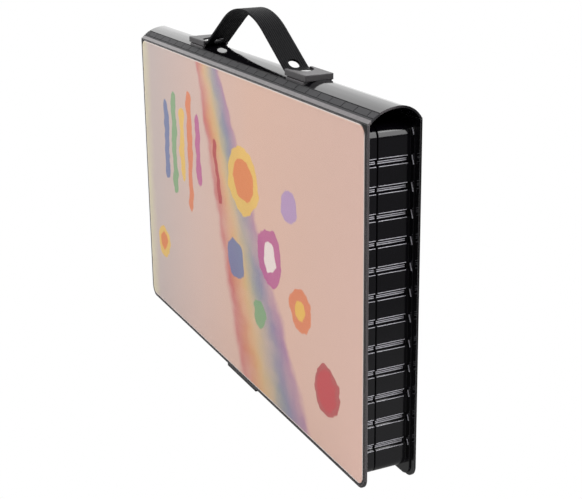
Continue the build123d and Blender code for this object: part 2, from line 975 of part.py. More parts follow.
# Sharpener: a block with a tapered hole, a blade and its screw
sharpener_block = sharpener_thickness - 2 * blade_thickness
with BuildPart() as sharpener_body:
    slab(sharpener_pocket, sharpener_length, sharpener_block, sharpener_height)
    hole_point = sharpener_pocket.point(0, 0, sharpener_block / 2)
    with Locations(Location(hole_point, (0, 90, 0))):
        Cone(
            sharpener_mouth_radius,
            sharpener_throat_radius,
            sharpener_length,
            mode=Mode.SUBTRACT,
        )
save(sharpener_body, "sharpener_body")

with BuildPart() as sharpener_blade:
    slab(
        sharpener_pocket,
        sharpener_length - 2 * blade_margin,
        blade_thickness,
        blade_height,
        lift=sharpener_block,
    )
save(sharpener_blade, "sharpener_blade")

with BuildPart() as sharpener_screw:
    screw_point = sharpener_pocket.point(0, 0, sharpener_block + blade_thickness * 1.5)
    with Locations(Location(screw_point, (90, 0, 0))):
        Cylinder(sharpener_screw_radius, blade_thickness)
save(sharpener_screw, "sharpener_screw")

# Clips: folded plates, open on one side
with BuildPart() as paper_clips:
    clip_points = [
        clip_pocket.point(0, (index - (clip_count - 1) / 2) * clip_pitch, clip_depth / 2)
        for index in range(clip_count)
    ]
    with Locations(*clip_points):
        Box(clip_length, clip_depth, clip_height)
    with Locations(*[(x, y - clip_plate, z) for x, y, z in clip_points]):
        Box(
            clip_length + cut_past,
            clip_depth,
            clip_height - 2 * clip_plate,
            mode=Mode.SUBTRACT,
        )
save(paper_clips, "paper_clips")


# Clasp: a plate that swings on a pin and closes under both covers
pin_y = back_inner_y - clasp_pin_inset
pin_z = clasp_pin_height
end_knuckle_x = (clasp_length - clasp_end_knuckle) / 2
free_span = end_knuckle_x - clasp_end_knuckle / 2 - clasp_middle_knuckle / 2
flap_knuckle = free_span - 2 * clasp_knuckle_gap
flap_knuckle_x = clasp_middle_knuckle / 2 + free_span / 2
mount_bottom_z = bottom_z + clasp_mount_gap
mount_top_z = mount_bottom_z + clasp_mount_height


def span_box(x, length, low, high, mode=Mode.ADD):
    """Boxes of one cross-section, given by its low and high (y, z) corners."""
    middle_y = (low[0] + high[0]) / 2
    middle_z = (low[1] + high[1]) / 2
    with Locations(*[(at, middle_y, middle_z) for at in x]):
        Box(length, high[0] - low[0], high[1] - low[1], mode=mode)


def knuckles(x, length, radius, mode=Mode.ADD):
    with Locations(*[Location((at, pin_y, pin_z), (0, 90, 0)) for at in x]):
        Cylinder(radius, length, mode=mode)


with BuildPart() as clasp_mount:
    span_box(
        [0],
        clasp_length,
        (back_inner_y - clasp_mount_thickness, mount_bottom_z),
        (back_inner_y, mount_top_z),
    )
    arm_low = (pin_y - clasp_radius / 2, pin_z)
    arm_high = (back_inner_y, pin_z + 2 * clasp_radius)
    span_box([-end_knuckle_x, end_knuckle_x], clasp_end_knuckle, arm_low, arm_high)
    span_box([0], clasp_middle_knuckle, arm_low, arm_high)
    knuckles([-end_knuckle_x, end_knuckle_x], clasp_end_knuckle, clasp_radius)
    knuckles([0], clasp_middle_knuckle, clasp_radius)
    knuckles([0], clasp_length + cut_past, clasp_pin_radius, Mode.SUBTRACT)
save(clasp_mount, "clasp_mount")

with BuildPart() as clasp_pin:
    knuckles([0], clasp_length, clasp_pin_radius)
save(clasp_pin, "clasp_pin")

catch_bottom_z = mount_top_z - clasp_catch_height
catch_lip_z = catch_bottom_z - clasp_catch_lip
with BuildPart() as clasp_catch:
    catch_y = front_inner_y + clasp_mount_thickness
    span_box([0], clasp_length, (front_inner_y, catch_bottom_z), (catch_y, mount_top_z))
    span_box(
        [0], clasp_length, (catch_y, catch_lip_z), (catch_y + clasp_catch_reach, mount_top_z)
    )
save(clasp_catch, "clasp_catch")

with BuildPart() as clasp_flap:
    flap_front_y = front_inner_y + clasp_side_clearance
    flap_back_y = pin_y - clasp_radius - clasp_swing_gap
    lip_top_z = catch_lip_z - clasp_bite_gap
    with BuildSketch(Plane.YZ):
        with BuildLine():
            Polyline(
                (flap_front_y, 0),
                (flap_back_y, 0),
                (flap_back_y, clasp_plate),
                (flap_front_y + clasp_lip, clasp_plate),
                (flap_front_y + clasp_lip, lip_top_z),
                (flap_front_y, lip_top_z),
                close=True,
            )
        make_face()
    extrude(amount=clasp_length / 2, both=True)
    outer_edges = clasp_flap.edges().filter_by(Axis.X).sort_by(Axis.Y)[0:2]
    fillet(outer_edges, clasp_edge_radius)
    tongue_low = (flap_back_y - clasp_tongue_root, pin_z - clasp_radius)
    tongue_high = (pin_y, pin_z - clasp_radius + clasp_tongue)
    flap_x = [-flap_knuckle_x, flap_knuckle_x]
    span_box(flap_x, flap_knuckle, tongue_low, tongue_high)
    knuckles(flap_x, flap_knuckle, clasp_radius)
    knuckles([0], clasp_length, clasp_pin_radius + clasp_pin_clearance, Mode.SUBTRACT)
save(clasp_flap, "clasp_flap")
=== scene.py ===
# %% [markdown]
# A kids art set case, dressed in Blender
#
# The case is a flat black box of folded plastic sheet with a printed card on its
# front, two trays of drawing tools inside, a strap handle and a clasp. The packed
# model gives the rigid pieces. This script adds the finishes, what is too thin for
# the solids (film, living hinges, pale lines and folds of painted highlight on the
# trays, pads of painted highlight in the strap's windows, and hairs), light and a
# camera. Lengths are in metres, X runs along the case, -Y is its front, Z is up.

import math
import random

import bmesh
import bpy
from mathutils import Matrix, Vector


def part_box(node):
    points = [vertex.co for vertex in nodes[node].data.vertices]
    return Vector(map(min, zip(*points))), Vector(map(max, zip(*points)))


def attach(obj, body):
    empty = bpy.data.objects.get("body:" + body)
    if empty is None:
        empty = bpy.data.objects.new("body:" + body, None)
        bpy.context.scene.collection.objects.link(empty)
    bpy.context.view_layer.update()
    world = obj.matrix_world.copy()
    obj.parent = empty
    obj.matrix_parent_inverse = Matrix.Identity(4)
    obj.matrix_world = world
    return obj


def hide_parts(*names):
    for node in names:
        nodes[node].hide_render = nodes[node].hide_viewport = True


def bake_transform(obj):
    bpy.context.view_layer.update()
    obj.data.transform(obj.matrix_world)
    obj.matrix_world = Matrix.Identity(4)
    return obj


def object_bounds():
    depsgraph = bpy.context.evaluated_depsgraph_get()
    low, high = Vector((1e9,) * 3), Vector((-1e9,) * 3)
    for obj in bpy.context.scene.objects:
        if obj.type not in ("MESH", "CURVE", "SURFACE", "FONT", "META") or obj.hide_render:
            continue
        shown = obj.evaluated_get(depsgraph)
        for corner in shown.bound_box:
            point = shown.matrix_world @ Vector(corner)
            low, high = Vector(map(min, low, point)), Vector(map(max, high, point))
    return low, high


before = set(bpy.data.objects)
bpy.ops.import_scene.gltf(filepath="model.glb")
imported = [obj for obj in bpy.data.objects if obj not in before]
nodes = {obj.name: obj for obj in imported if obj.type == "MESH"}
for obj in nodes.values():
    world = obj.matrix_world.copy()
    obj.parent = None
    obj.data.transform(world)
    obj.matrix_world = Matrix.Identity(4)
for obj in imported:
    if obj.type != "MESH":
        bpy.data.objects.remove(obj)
cad_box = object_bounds()
mm = 0.001
print("pieces in the frame:", len(nodes))

# %% [markdown]
# The photograph looks down on the front from beyond the case's right end. Its view
# was worked out from the corners of the covers, and is given as a direction, a
# distance and a long lens. A small shift of the lens puts the case at its place in
# the frame without turning the upright edges.

# %% Camera
photo_width = 582
photo_height = 499
lens_pixels = 1160.0
centre_x = 268.97
centre_y = 195.28
turn = math.radians(65.361)
rise = math.radians(16.013)
roll = math.radians(-1.016)
distance = 878.77 * mm
slide_right = 8.904 * mm
slide_up = 11.874 * mm
aim_y = 0.25 * mm
aim_over_foot = 130 * mm
cover_low, cover_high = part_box("front_cover")
aim = Vector((0, aim_y, cover_low.z + aim_over_foot))

back = Vector((math.sin(turn) * math.cos(rise), -math.cos(turn) * math.cos(rise), math.sin(rise)))
level_right = (-back).cross(Vector((0, 0, 1))).normalized()
level_up = level_right.cross(-back)
right = level_right * math.cos(roll) + level_up * math.sin(roll)
up = level_up * math.cos(roll) - level_right * math.sin(roll)

camera_data = bpy.data.cameras.new("camera")
camera_data.sensor_width = 36.0
camera_data.lens = lens_pixels / photo_width * camera_data.sensor_width
camera_data.shift_x = (photo_width / 2 - centre_x) / photo_width
camera_data.shift_y = (centre_y - photo_height / 2) / photo_width
camera_data.clip_start = 0.01
camera = bpy.data.objects.new("camera", camera_data)
camera.matrix_world = Matrix((right, up, back)).transposed().to_4x4()
camera.location = aim + back * distance + right * slide_right + up * slide_up
bpy.context.scene.collection.objects.link(camera)
bpy.context.scene.camera = camera
print("lens in millimetres:", round(camera_data.lens, 2))

# %% [markdown]
# Materials are small graphs of nodes. One helper adds a node with its settings and
# inputs, and an input may be a number, a colour, a node or another node's output.
# Colours are written as a screen shows them and made linear for the shader.


# %% Helpers for nodes
def set_input(tree, socket, value):
    if isinstance(value, bpy.types.NodeSocket):
        tree.links.new(value, socket)
    elif isinstance(value, bpy.types.Node):
        tree.links.new(value.outputs[0], socket)
    elif socket.type == "RGBA" and len(value) == 3:
        socket.default_value = (*value, 1)
    else:
        socket.default_value = value


def give(tree, node, **inputs):
    """Sets inputs by name, with spaces written as underscores."""
    for name, value in inputs.items():
        set_input(tree, node.inputs[name.replace("_", " ")], value)


def put(tree, kind, settings=None, *values, **inputs):
    """Adds a node: its settings, its first inputs in their order, and others by name."""
    made = tree.nodes.new(kind)
    for name, value in (settings or {}).items():
        setattr(made, name, value)
    for socket, value in zip(made.inputs, values):
        set_input(tree, socket, value)
    give(tree, made, **inputs)
    return made


def linear(red, green, blue):
    """A colour given in 0 to 255 as a screen shows it, made linear for the shader."""
    def one(value):
        share = value / 255
        return share / 12.92 if share <= 0.04045 else ((share + 0.055) / 1.055) ** 2.4

    return (one(red), one(green), one(blue))


white = linear(255, 255, 255)
print("half grey on a screen, for the shader:", round(linear(128, 128, 128)[0], 3))

# %% [markdown]
# The commonest nodes get a short name each, which gives back the node's output or
# the node itself. They do arithmetic, mix colours, carry a value from one range to
# another, draw noise, and turn a height into a bump.

# %% Helpers for values
scalar_results = ("DOT_PRODUCT", "DISTANCE")


def maths(tree, operation, *values, clamp=False):
    settings = {"operation": operation, "use_clamp": clamp}
    return put(tree, "ShaderNodeMath", settings, *values).outputs[0]


def vector_maths(tree, operation, *values, **named):
    made = put(tree, "ShaderNodeVectorMath", {"operation": operation}, *values, **named)
    return made.outputs["Value" if operation in scalar_results else "Vector"]


def axes(tree, place):
    """The X, Y and Z of a place."""
    return put(tree, "ShaderNodeSeparateXYZ", Vector=place).outputs


def mixed(tree, share, first, second):
    """A colour between two others."""
    made = put(tree, "ShaderNodeMix", {"data_type": "RGBA"}, share)
    set_input(tree, made.inputs[6], first)
    set_input(tree, made.inputs[7], second)
    return made.outputs[2]


def ranged(tree, value, low, high, to_low=0.0, to_high=1.0, smooth=False):
    """A value carried from one range to another and held at its ends."""
    settings = {"interpolation_type": "SMOOTHSTEP" if smooth else "LINEAR"}
    ends = {"From_Min": low, "From_Max": high, "To_Min": to_low, "To_Max": to_high}
    return put(tree, "ShaderNodeMapRange", settings, Value=value, **ends).outputs[0]


def bump(tree, height, strength, depth, **normal):
    return put(tree, "ShaderNodeBump", Strength=strength, Distance=depth, Height=height, **normal)


def noise(tree, place, scale, detail=2.0):
    return put(tree, "ShaderNodeTexNoise", Vector=place, Scale=scale, Detail=detail)


print("vector nodes that give one number:", scalar_results)

# %% [markdown]
# A material is one Principled shader, and its patterns follow the Object
# coordinates, so they stay on a piece when it moves. A row of colours along a
# value is a ramp: blended for paint, in steps for a row of separate pieces.


# %% Helpers for materials
def empty_material(name):
    made = bpy.data.materials.new(name)
    made.use_nodes = True
    made.node_tree.nodes.clear()
    return made


def start(name, **shader_inputs):
    """A new material: itself, its tree, its shader and its Object coordinates."""
    made = empty_material(name)
    tree = made.node_tree
    shader = put(tree, "ShaderNodeBsdfPrincipled", **shader_inputs)
    put(tree, "ShaderNodeOutputMaterial", Surface=shader)
    place = put(tree, "ShaderNodeTexCoord").outputs["Object"]
    return made, tree, shader, place


def ramp(tree, share, stops, blend="LINEAR"):
    """Colours at their places from 0 to 1 along a value."""
    made = put(tree, "ShaderNodeValToRGB", Fac=share)
    colours = made.color_ramp
    colours.interpolation = blend
    colours.elements.remove(colours.elements[1])
    first = colours.elements[0]
    first.position = stops[0][0]
    first.color = (*stops[0][1], 1)
    for at, tint in stops[1:]:
        colours.elements.new(at).color = (*tint, 1)
    return made.outputs[0]


def even_stops(tints, inset=0.0):
    """Colours at even steps, each at its step's start or a share of a step further."""
    return [((index + inset) / len(tints), tint) for index, tint in enumerate(tints)]


print("places of four even colours:", [at for at, tint in even_stops([white] * 4)])

# %% [markdown]
# Effects that many pieces share are node groups, each built once. Soft edges
# rounds a solid's sharp edges in the light alone and marks them. Sheet ripple is
# the slight waviness and haze of thin plastic. Grain is a fine speckle.


# %% Groups for shared effects
def new_group(name, inputs, outputs):
    """An empty node group with named sockets, given as (name, type, default)."""
    group = bpy.data.node_groups.new(name, "ShaderNodeTree")
    for label, kind, value in inputs:
        socket = group.interface.new_socket(label, in_out="INPUT", socket_type=kind)
        if value is not None:
            socket.default_value = value
    for label, kind in outputs:
        group.interface.new_socket(label, in_out="OUTPUT", socket_type=kind)
    return group, group.nodes.new("NodeGroupInput").outputs, group.nodes.new("NodeGroupOutput")


def use(tree, group, **inputs):
    """Places a group in a material with its own values."""
    return put(tree, "ShaderNodeGroup", {"node_tree": group}, **inputs).outputs


number, colour, vector = "NodeSocketFloat", "NodeSocketColor", "NodeSocketVector"

soft_edges, given, out = new_group(
    "soft_edges",
    [("Radius", number, 0.0004)],
    [("Edge", number), ("Normal", vector)],
)
rounded = put(soft_edges, "ShaderNodeBevel", {"samples": 4}, Radius=given["Radius"])
flat_normal = put(soft_edges, "ShaderNodeNewGeometry").outputs["Normal"]
agreement = vector_maths(soft_edges, "DOT_PRODUCT", rounded, flat_normal)
give(soft_edges, out, Edge=ranged(soft_edges, agreement, 0.995, 0.85), Normal=rounded)

sheet_ripple, given, out = new_group(
    "sheet_ripple",
    [("Place", vector, None), ("Wave", number, 30.0), ("Smooth", number, 0.1), ("Haze", number, 0.1)],
    [("Height", number), ("Roughness", number)],
)
wave = noise(sheet_ripple, given["Place"], given["Wave"], 1.5)
rub = noise(sheet_ripple, given["Place"], 240.0, 4.0)
rub_mask = ranged(sheet_ripple, rub, 0.35, 0.75)
rough_add = maths(sheet_ripple, "MULTIPLY", rub_mask, given["Haze"])
give(sheet_ripple, out, Height=wave, Roughness=maths(sheet_ripple, "ADD", rough_add, given["Smooth"]))

grain, given, out = new_group(
    "grain",
    [
        ("Place", vector, None),
        ("Scale", number, 900.0),
        ("Base", colour, (0.5, 0.5, 0.5, 1)),
        ("Variation", number, 0.15),
    ],
    [("Color", colour), ("Height", number)],
)
fleck = noise(grain, given["Place"], given["Scale"], 5.0)
shade = ranged(grain, fleck, 0.3, 0.7, -1.0, 1.0)
shade = maths(grain, "MULTIPLY_ADD", shade, given["Variation"], 1.0)
give(grain, out, Color=vector_maths(grain, "SCALE", given["Base"], Scale=shade), Height=fleck)
print("shared effects:", [g.name for g in bpy.data.node_groups])

# %% [markdown]
# Two kinds of surface come again and again, so each has one maker. Plastic has
# glossy faces whose faint ripple breaks up the reflections, and edges painted
# paler as a painted highlight. A grained surface is matt: one speckle gives both its
# flecks of colour and its uneven roughness.


# %% Plastic and grain
def finish_plastic(tree, shader, place, base, smooth, haze=0.08, wave=30.0, depth=0.05, edge=0.4 * mm):
    """The base is a plain colour or a pattern. Gives back the rippled normal."""
    ripple = use(tree, sheet_ripple, Place=place, Wave=wave, Smooth=smooth, Haze=haze)
    edges = use(tree, soft_edges, Radius=edge)
    # Painted highlight: the edges are painted a paler copy of the base colour.
    if isinstance(base, tuple):
        edge_highlight = tuple(min(1.0, part * 1.5 + 0.01) for part in base)
    else:
        edge_highlight = mixed(tree, 0.15, base, white)
    rippled = bump(tree, ripple["Height"], depth, 2 * mm, Normal=edges["Normal"])
    tint = mixed(tree, edges["Edge"], base, edge_highlight)
    give(tree, shader, Base_Color=tint, Roughness=ripple["Roughness"], Normal=rippled)
    return rippled


def plastic(name, base, smooth, **finish):
    made, tree, shader, place = start(name)
    finish_plastic(tree, shader, place, base, smooth, **finish)
    return made


def speckled(tree, place, base, scale, variation):
    """The base colour with the grain's flecks."""
    return use(tree, grain, Place=place, Scale=scale, Base=base, Variation=variation)["Color"]


def finish_grain(tree, shader, place, base, scale, variation, smoothest, roughest):
    flecks = use(tree, grain, Place=place, Scale=scale, Base=base, Variation=variation)
    rough = ranged(tree, flecks["Height"], 0.3, 0.7, smoothest, roughest)
    give(tree, shader, Base_Color=flecks["Color"], Roughness=rough)
    return flecks


clasp_black = plastic("clasp_black", linear(20, 18, 22), 0.16, haze=0.1, edge=0.6 * mm)
white_plastic = plastic("white_plastic", linear(240, 240, 238), 0.25)
print("plain plastics:", clasp_black.name, white_plastic.name)

# %% [markdown]
# The covers are one black sheet. Its cut ends get a painted highlight, a paler
# colour, and a mask finds those faces by their place along the case. The painted
# highlight fades towards the back, as the pale cut does in the photograph.

# %% Cover sheet
sheet_black = linear(12, 11, 14)
# The paler colour of the cut ends is a painted highlight.
cut_end_highlight = linear(70, 66, 68)
cut_start = 0.3 * mm
cut_full = 0.1 * mm
fade_back = 8 * mm
fade_front = -4 * mm


def sheet_tint(tree, place):
    """Black sheet with a painted highlight on its cut ends."""
    spots = axes(tree, place)
    from_middle = maths(tree, "ABSOLUTE", spots["X"])
    at_end = ranged(tree, from_middle, cover_high.x - cut_start, cover_high.x - cut_full)
    cut_highlight = maths(tree, "MULTIPLY", at_end, ranged(tree, spots["Y"], fade_back, fade_front))
    return mixed(tree, cut_highlight, sheet_black, cut_end_highlight)


black_sheet, tree, shader, place = start("cover_sheet")
finish_plastic(tree, shader, place, sheet_tint(tree, place), 0.06, haze=0.05, depth=0.03)
print("black of the sheet, for the shader:", [round(part, 4) for part in sheet_black])

# %% [markdown]
# The trays are drawn from thinner sheet over a mould. The end walls of the back
# tray lean out a little towards its flange, which shows only in their reflections,
# so the lean is given to the normal. The pale lines along the edges of each flute
# and the folds on the flange beside it are a painted highlight in a pale grey.

# %% Tray sheet
wall_lean = 0.1
deck_margin = 0.3 * mm
back_tray_low, back_tray_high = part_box("back_tray")
tray_sheet, tree, shader, place = start("tray_sheet")
rippled = finish_plastic(tree, shader, place, linear(5, 4, 8), 0.07, haze=0.06, wave=60.0, depth=0.04)
behind_deck = maths(tree, "GREATER_THAN", axes(tree, place)["Y"], back_tray_low.y - deck_margin)
lean = put(tree, "ShaderNodeCombineXYZ", Y=maths(tree, "MULTIPLY", behind_deck, -wall_lean))
leaning = vector_maths(tree, "NORMALIZE", vector_maths(tree, "ADD", rippled, lean))
give(tree, shader, Normal=leaning)

# Painted highlight: a pale grey for the lines along the flute edges and the folds on the flange.
painted_highlight_sheet, tree, shader, place = start("painted_highlight_sheet")
finish_plastic(tree, shader, place, speckled(tree, place, linear(186, 184, 192), 1500.0, 0.2), 0.3)
print("lean of the end walls in degrees:", round(math.degrees(math.atan(wall_lean)), 1))

# %% [markdown]
# The strap is extruded, so fine ribs run along its whole length. They depend only
# on the place across the strap, which makes them a wave along Y, and painted shade
# darkens the valleys between them almost to black. The end blocks have the fine even
# grain of a spark-eroded mould, and a painted highlight makes their edges paler.

# %% Strap and blocks
rib_count = 11
strap_low, strap_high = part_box("handle_strap")
rib_pitch = (strap_high.y - strap_low.y) / rib_count
strap_black, tree, shader, place = start("strap_black", IOR=1.2, Specular_IOR_Level=0.12)
across = maths(tree, "SUBTRACT", axes(tree, place)["Y"], strap_low.y)
rib = maths(tree, "SINE", maths(tree, "MULTIPLY", maths(tree, "DIVIDE", across, rib_pitch), math.tau))
valley = ranged(tree, rib, -1.0, 0.3)
edges = use(tree, soft_edges, Radius=0.6 * mm)
strap_grain = speckled(tree, place, linear(19, 19, 21), 2500.0, 0.2)
# Painted shade: the valleys between the ribs are painted almost black.
rib_painted_shade = mixed(tree, valley, linear(1, 1, 1), strap_grain)
give(
    tree,
    shader,
    Base_Color=mixed(tree, edges["Edge"], rib_painted_shade, linear(18, 18, 20)),
    Roughness=ranged(tree, valley, 0.0, 1.0, 0.6, 0.42),
    Normal=bump(tree, valley, 0.9, 0.2 * mm, Normal=edges["Normal"]),
)

block_black, tree, shader, place = start("block_black")
edges = use(tree, soft_edges, Radius=0.7 * mm)
mould_grain = finish_grain(tree, shader, place, linear(44, 41, 43), 1800.0, 0.3, 0.42, 0.55)
# Painted highlight: the edges of the blocks are painted pale grey.
give(
    tree,
    shader,
    Base_Color=mixed(tree, edges["Edge"], mould_grain["Color"], linear(105, 102, 106)),
    Normal=bump(tree, mould_grain["Height"], 0.25, 0.1 * mm, Normal=edges["Normal"]),
)
print("ribs on the strap:", rib_count, "every", round(rib_pitch / mm, 2), "mm")

# %% [markdown]
# The spine is the same black sheet with two bands along its front shoulder. Above
# the crease lies the pale welded edge of the film, and over that a row of matt
# cells, each a little lighter or darker than the next.

# %% Spine
lip_run = 3.1 * mm
band_run = 5.0 * mm
film_run = 0.75 * lip_run
cell_pitch = 16.0 * mm
spine_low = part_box("spine")[0]
spine_sheet, tree, shader, place = start("spine_sheet")
parts = axes(tree, place)
inward = maths(tree, "SUBTRACT", parts["Y"], spine_low.y)
on_film = maths(tree, "LESS_THAN", inward, film_run)
on_front = maths(tree, "LESS_THAN", inward, lip_run + band_run)
on_band = maths(tree, "SUBTRACT", on_front, on_film)
cell = maths(tree, "FLOOR", maths(tree, "DIVIDE", parts["X"], cell_pitch))
cell_shade = put(tree, "ShaderNodeTexWhiteNoise", {"noise_dimensions": "1D"}, W=cell).outputs["Value"]
cell_grain = speckled(tree, place, linear(30, 29, 33), 700.0, 0.3)
cell_tint = mixed(tree, cell_shade, cell_grain, linear(14, 14, 18))
film_grain = speckled(tree, place, linear(99, 94, 96), 300.0, 0.2)
tint = mixed(tree, on_band, sheet_tint(tree, place), cell_tint)
ripple = use(tree, sheet_ripple, Place=place, Wave=30.0, Smooth=0.06, Haze=0.05)
rough = ranged(tree, on_band, 0.0, 1.0, ripple["Roughness"], 0.7)
edges = use(tree, soft_edges, Radius=0.4 * mm)
give(
    tree,
    shader,
    Base_Color=mixed(tree, on_film, tint, film_grain),
    Roughness=maths(tree, "MAXIMUM", rough, maths(tree, "MULTIPLY", on_film, 0.3)),
    Normal=bump(tree, ripple["Height"], 0.03, 2 * mm, Normal=edges["Normal"]),
)
print("cells along the spine:", round((cover_high.x - cover_low.x) / cell_pitch))

# %% [markdown]
# The print on the card is a generic design: a warm ground that pales towards one
# end, a sweep of watercolour stripes, and loose rounds and strokes of paint. One
# node group draws a soft stroke between two points: it finds the nearest point of
# the line between them, and compares the distance with the stroke's radius.

# %% Paint marks
paint_mark, given, out = new_group(
    "paint_mark",
    [
        ("Place", vector, None),
        ("From", vector, (0, 0, 0)),
        ("To", vector, (0, 0, 0)),
        ("Radius", number, 8.0),
        ("Softness", number, 1.0),
    ],
    [("Mask", number)],
)
reach = vector_maths(paint_mark, "SUBTRACT", given["To"], given["From"])
offset = vector_maths(paint_mark, "SUBTRACT", given["Place"], given["From"])
along = vector_maths(paint_mark, "DOT_PRODUCT", offset, reach)
whole = maths(paint_mark, "MAXIMUM", vector_maths(paint_mark, "DOT_PRODUCT", reach, reach), 0.0001)
share = maths(paint_mark, "DIVIDE", along, whole, clamp=True)
nearest = vector_maths(paint_mark, "SCALE", reach, Scale=share)
gap = vector_maths(paint_mark, "DISTANCE", offset, nearest)
inner = maths(paint_mark, "SUBTRACT", given["Radius"], given["Softness"])
give(paint_mark, out, Mask=ranged(paint_mark, gap, given["Radius"], inner, smooth=True))
print("nodes that draw one mark:", len(paint_mark.nodes))

# %% [markdown]
# The card's own X and Z are its drawing plane, in millimetres from its lower left
# corner. Watercolour has wandering edges and uneven strength, so the plane is
# pushed about by noise before anything is drawn on it. The clear film lies on the
# card, so the card is given its gloss as a coat.

# %% Printed card
wander_reach = 16.0
foot_gain = 1.09
card_low, card_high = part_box("print_card")
card_width = (card_high.x - card_low.x) / mm
card_height = (card_high.z - card_low.z) / mm
card_print, tree, shader, place = start(
    "card_print", Roughness=0.45, Coat_Weight=0.3, Coat_Roughness=0.09
)
parts = axes(tree, place)
sheet_x = ranged(tree, parts["X"], card_low.x, card_high.x, 0.0, card_width)
sheet_y = ranged(tree, parts["Z"], card_low.z, card_high.z, 0.0, card_height)
drawing = put(tree, "ShaderNodeCombineXYZ", X=sheet_x, Y=sheet_y)
wander = noise(tree, drawing, 0.05, 4.0).outputs["Color"]
wander = vector_maths(tree, "SUBTRACT", wander, (0.5, 0.5, 0.5))
loose = vector_maths(tree, "MULTIPLY_ADD", wander, (wander_reach, wander_reach, 0), drawing)
loose_parts = axes(tree, loose)

ground_stops = [
    (0.00, linear(214, 204, 172)),
    (0.05, linear(196, 178, 172)),
    (0.30, linear(212, 182, 170)),
    (0.60, linear(220, 180, 160)),
    (0.85, linear(217, 179, 162)),
    (1.00, linear(217, 179, 164)),
]
ground = ramp(tree, ranged(tree, loose_parts["X"], 0.0, card_width), ground_stops)
# Painted light: the ground is painted lighter towards the card's foot, by the foot gain at the foot.
painted_foot_light = ranged(tree, sheet_y, 0.0, card_height, foot_gain, 1.0)
painted = vector_maths(tree, "SCALE", ground, Scale=painted_foot_light)
print("card in millimetres:", round(card_width, 1), "by", round(card_height, 1))

# %% [markdown]
# The sweep of stripes runs slantwise over the card from its upper edge and widens
# towards the foot. Its colours follow the distance from a slanted line, divided
# by the sweep's width at that height, so one ramp paints all stripes. A second
# noise thins the colour here and there.

# %% Watercolour sweep
sweep_top = 150.0
sweep_foot = 262.0
top_half_width = 26.0
foot_half_width = 62.0
stripe_colours = [
    linear(196, 84, 92),
    linear(216, 140, 92),
    linear(220, 186, 116),
    linear(150, 156, 150),
    linear(120, 122, 160),
    linear(176, 120, 154),
]
fall = ranged(tree, loose_parts["Y"], card_height, 0.0)
middle = ranged(tree, fall, 0.0, 1.0, sweep_top, sweep_foot)
half_width = ranged(tree, fall, 0.0, 1.0, top_half_width, foot_half_width)
aside = maths(tree, "DIVIDE", maths(tree, "SUBTRACT", loose_parts["X"], middle), half_width)
stripes = ramp(tree, ranged(tree, aside, -1.0, 1.0), even_stops(stripe_colours, 0.5), "B_SPLINE")
inside = ranged(tree, maths(tree, "ABSOLUTE", aside), 1.05, 0.8, smooth=True)
wash = noise(tree, loose, 0.03, 6.0)
strength = maths(tree, "MULTIPLY", inside, ranged(tree, wash, 0.3, 0.62, 0.5, 0.95))
painted = mixed(tree, strength, painted, stripes)
print("stripes in the sweep:", len(stripe_colours))

# %% [markdown]
# The loose motifs are plain rounds and strokes in the case's bright colours, set
# out in a layout of this script's own. Each mark is its two ends in millimetres,
# its radius and its colour, and later marks lie over earlier ones. Last comes the
# bare edge of the paper round the print.

# %% Rounds and strokes of paint
mark_softness = 1.2
mark_strength = 0.88
bare_edge = 0.5
print_edge = 0.9
orange = linear(224, 118, 58)
yellow = linear(236, 190, 74)
magenta = linear(186, 74, 140)
denim = linear(92, 110, 158)
lilac = linear(176, 142, 190)
green = linear(120, 164, 112)
crimson = linear(176, 34, 44)
cherry = linear(196, 52, 58)
cream = linear(244, 232, 222)
marks = [
    ((214, 158), (214, 158), 27, yellow),
    ((214, 158), (214, 158), 18, orange),
    ((258, 112), (258, 112), 21, magenta),
    ((258, 112), (258, 112), 12, cream),
    ((196, 92), (196, 92), 16, denim),
    ((292, 158), (292, 158), 13, lilac),
    ((308, 88), (308, 88), 17, orange),
    ((308, 88), (308, 88), 9, yellow),
    ((240, 62), (240, 62), 11, green),
    ((346, 46), (346, 46), 18, crimson),
    ((346, 46), (346, 46), 14, cherry),
    ((160, 176), (168, 132), 4, crimson),
    ((54, 186), (54, 128), 6, denim),
    ((72, 196), (72, 118), 6, green),
    ((90, 184), (90, 132), 6, yellow),
    ((108, 198), (108, 112), 6, orange),
    ((126, 186), (126, 138), 6, magenta),
    ((36, 60), (36, 60), 14, yellow),
    ((36, 60), (36, 60), 8, orange),
]
for begin, end, radius, tint in marks:
    ends = {"From": (*begin, 0), "To": (*end, 0)}
    mark = use(tree, paint_mark, Place=loose, Radius=float(radius), Softness=mark_softness, **ends)
    painted = mixed(tree, maths(tree, "MULTIPLY", mark["Mask"], mark_strength), painted, tint)

edge_x = maths(tree, "MINIMUM", sheet_x, maths(tree, "SUBTRACT", card_width, sheet_x))
edge_y = maths(tree, "MINIMUM", sheet_y, maths(tree, "SUBTRACT", card_height, sheet_y))
at_edge = ranged(tree, maths(tree, "MINIMUM", edge_x, edge_y), print_edge, bare_edge)
painted = mixed(tree, at_edge, painted, linear(226, 214, 208))
give(tree, shader, Base_Color=speckled(tree, place, painted, 1500.0, 0.015))
print("marks on the card:", len(marks))

# %% [markdown]
# New pieces are small meshes. Two helpers turn a bmesh into an object, and a third
# makes a flat upright grid, from which the film and the hinges start.


# %% Helpers for pieces
def new_object(bm, name, material):
    """Turns a bmesh into an object with its material."""
    mesh = bpy.data.meshes.new(name)
    bm.to_mesh(mesh)
    bm.free()
    mesh.materials.append(material)
    made = bpy.data.objects.new(name, mesh)
    bpy.context.scene.collection.objects.link(made)
    return made


def finished(bm, name, material, body):
    """The same, for a piece that rides on one body."""
    piece = new_object(bm, name, material)
    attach(piece, body)
    return piece


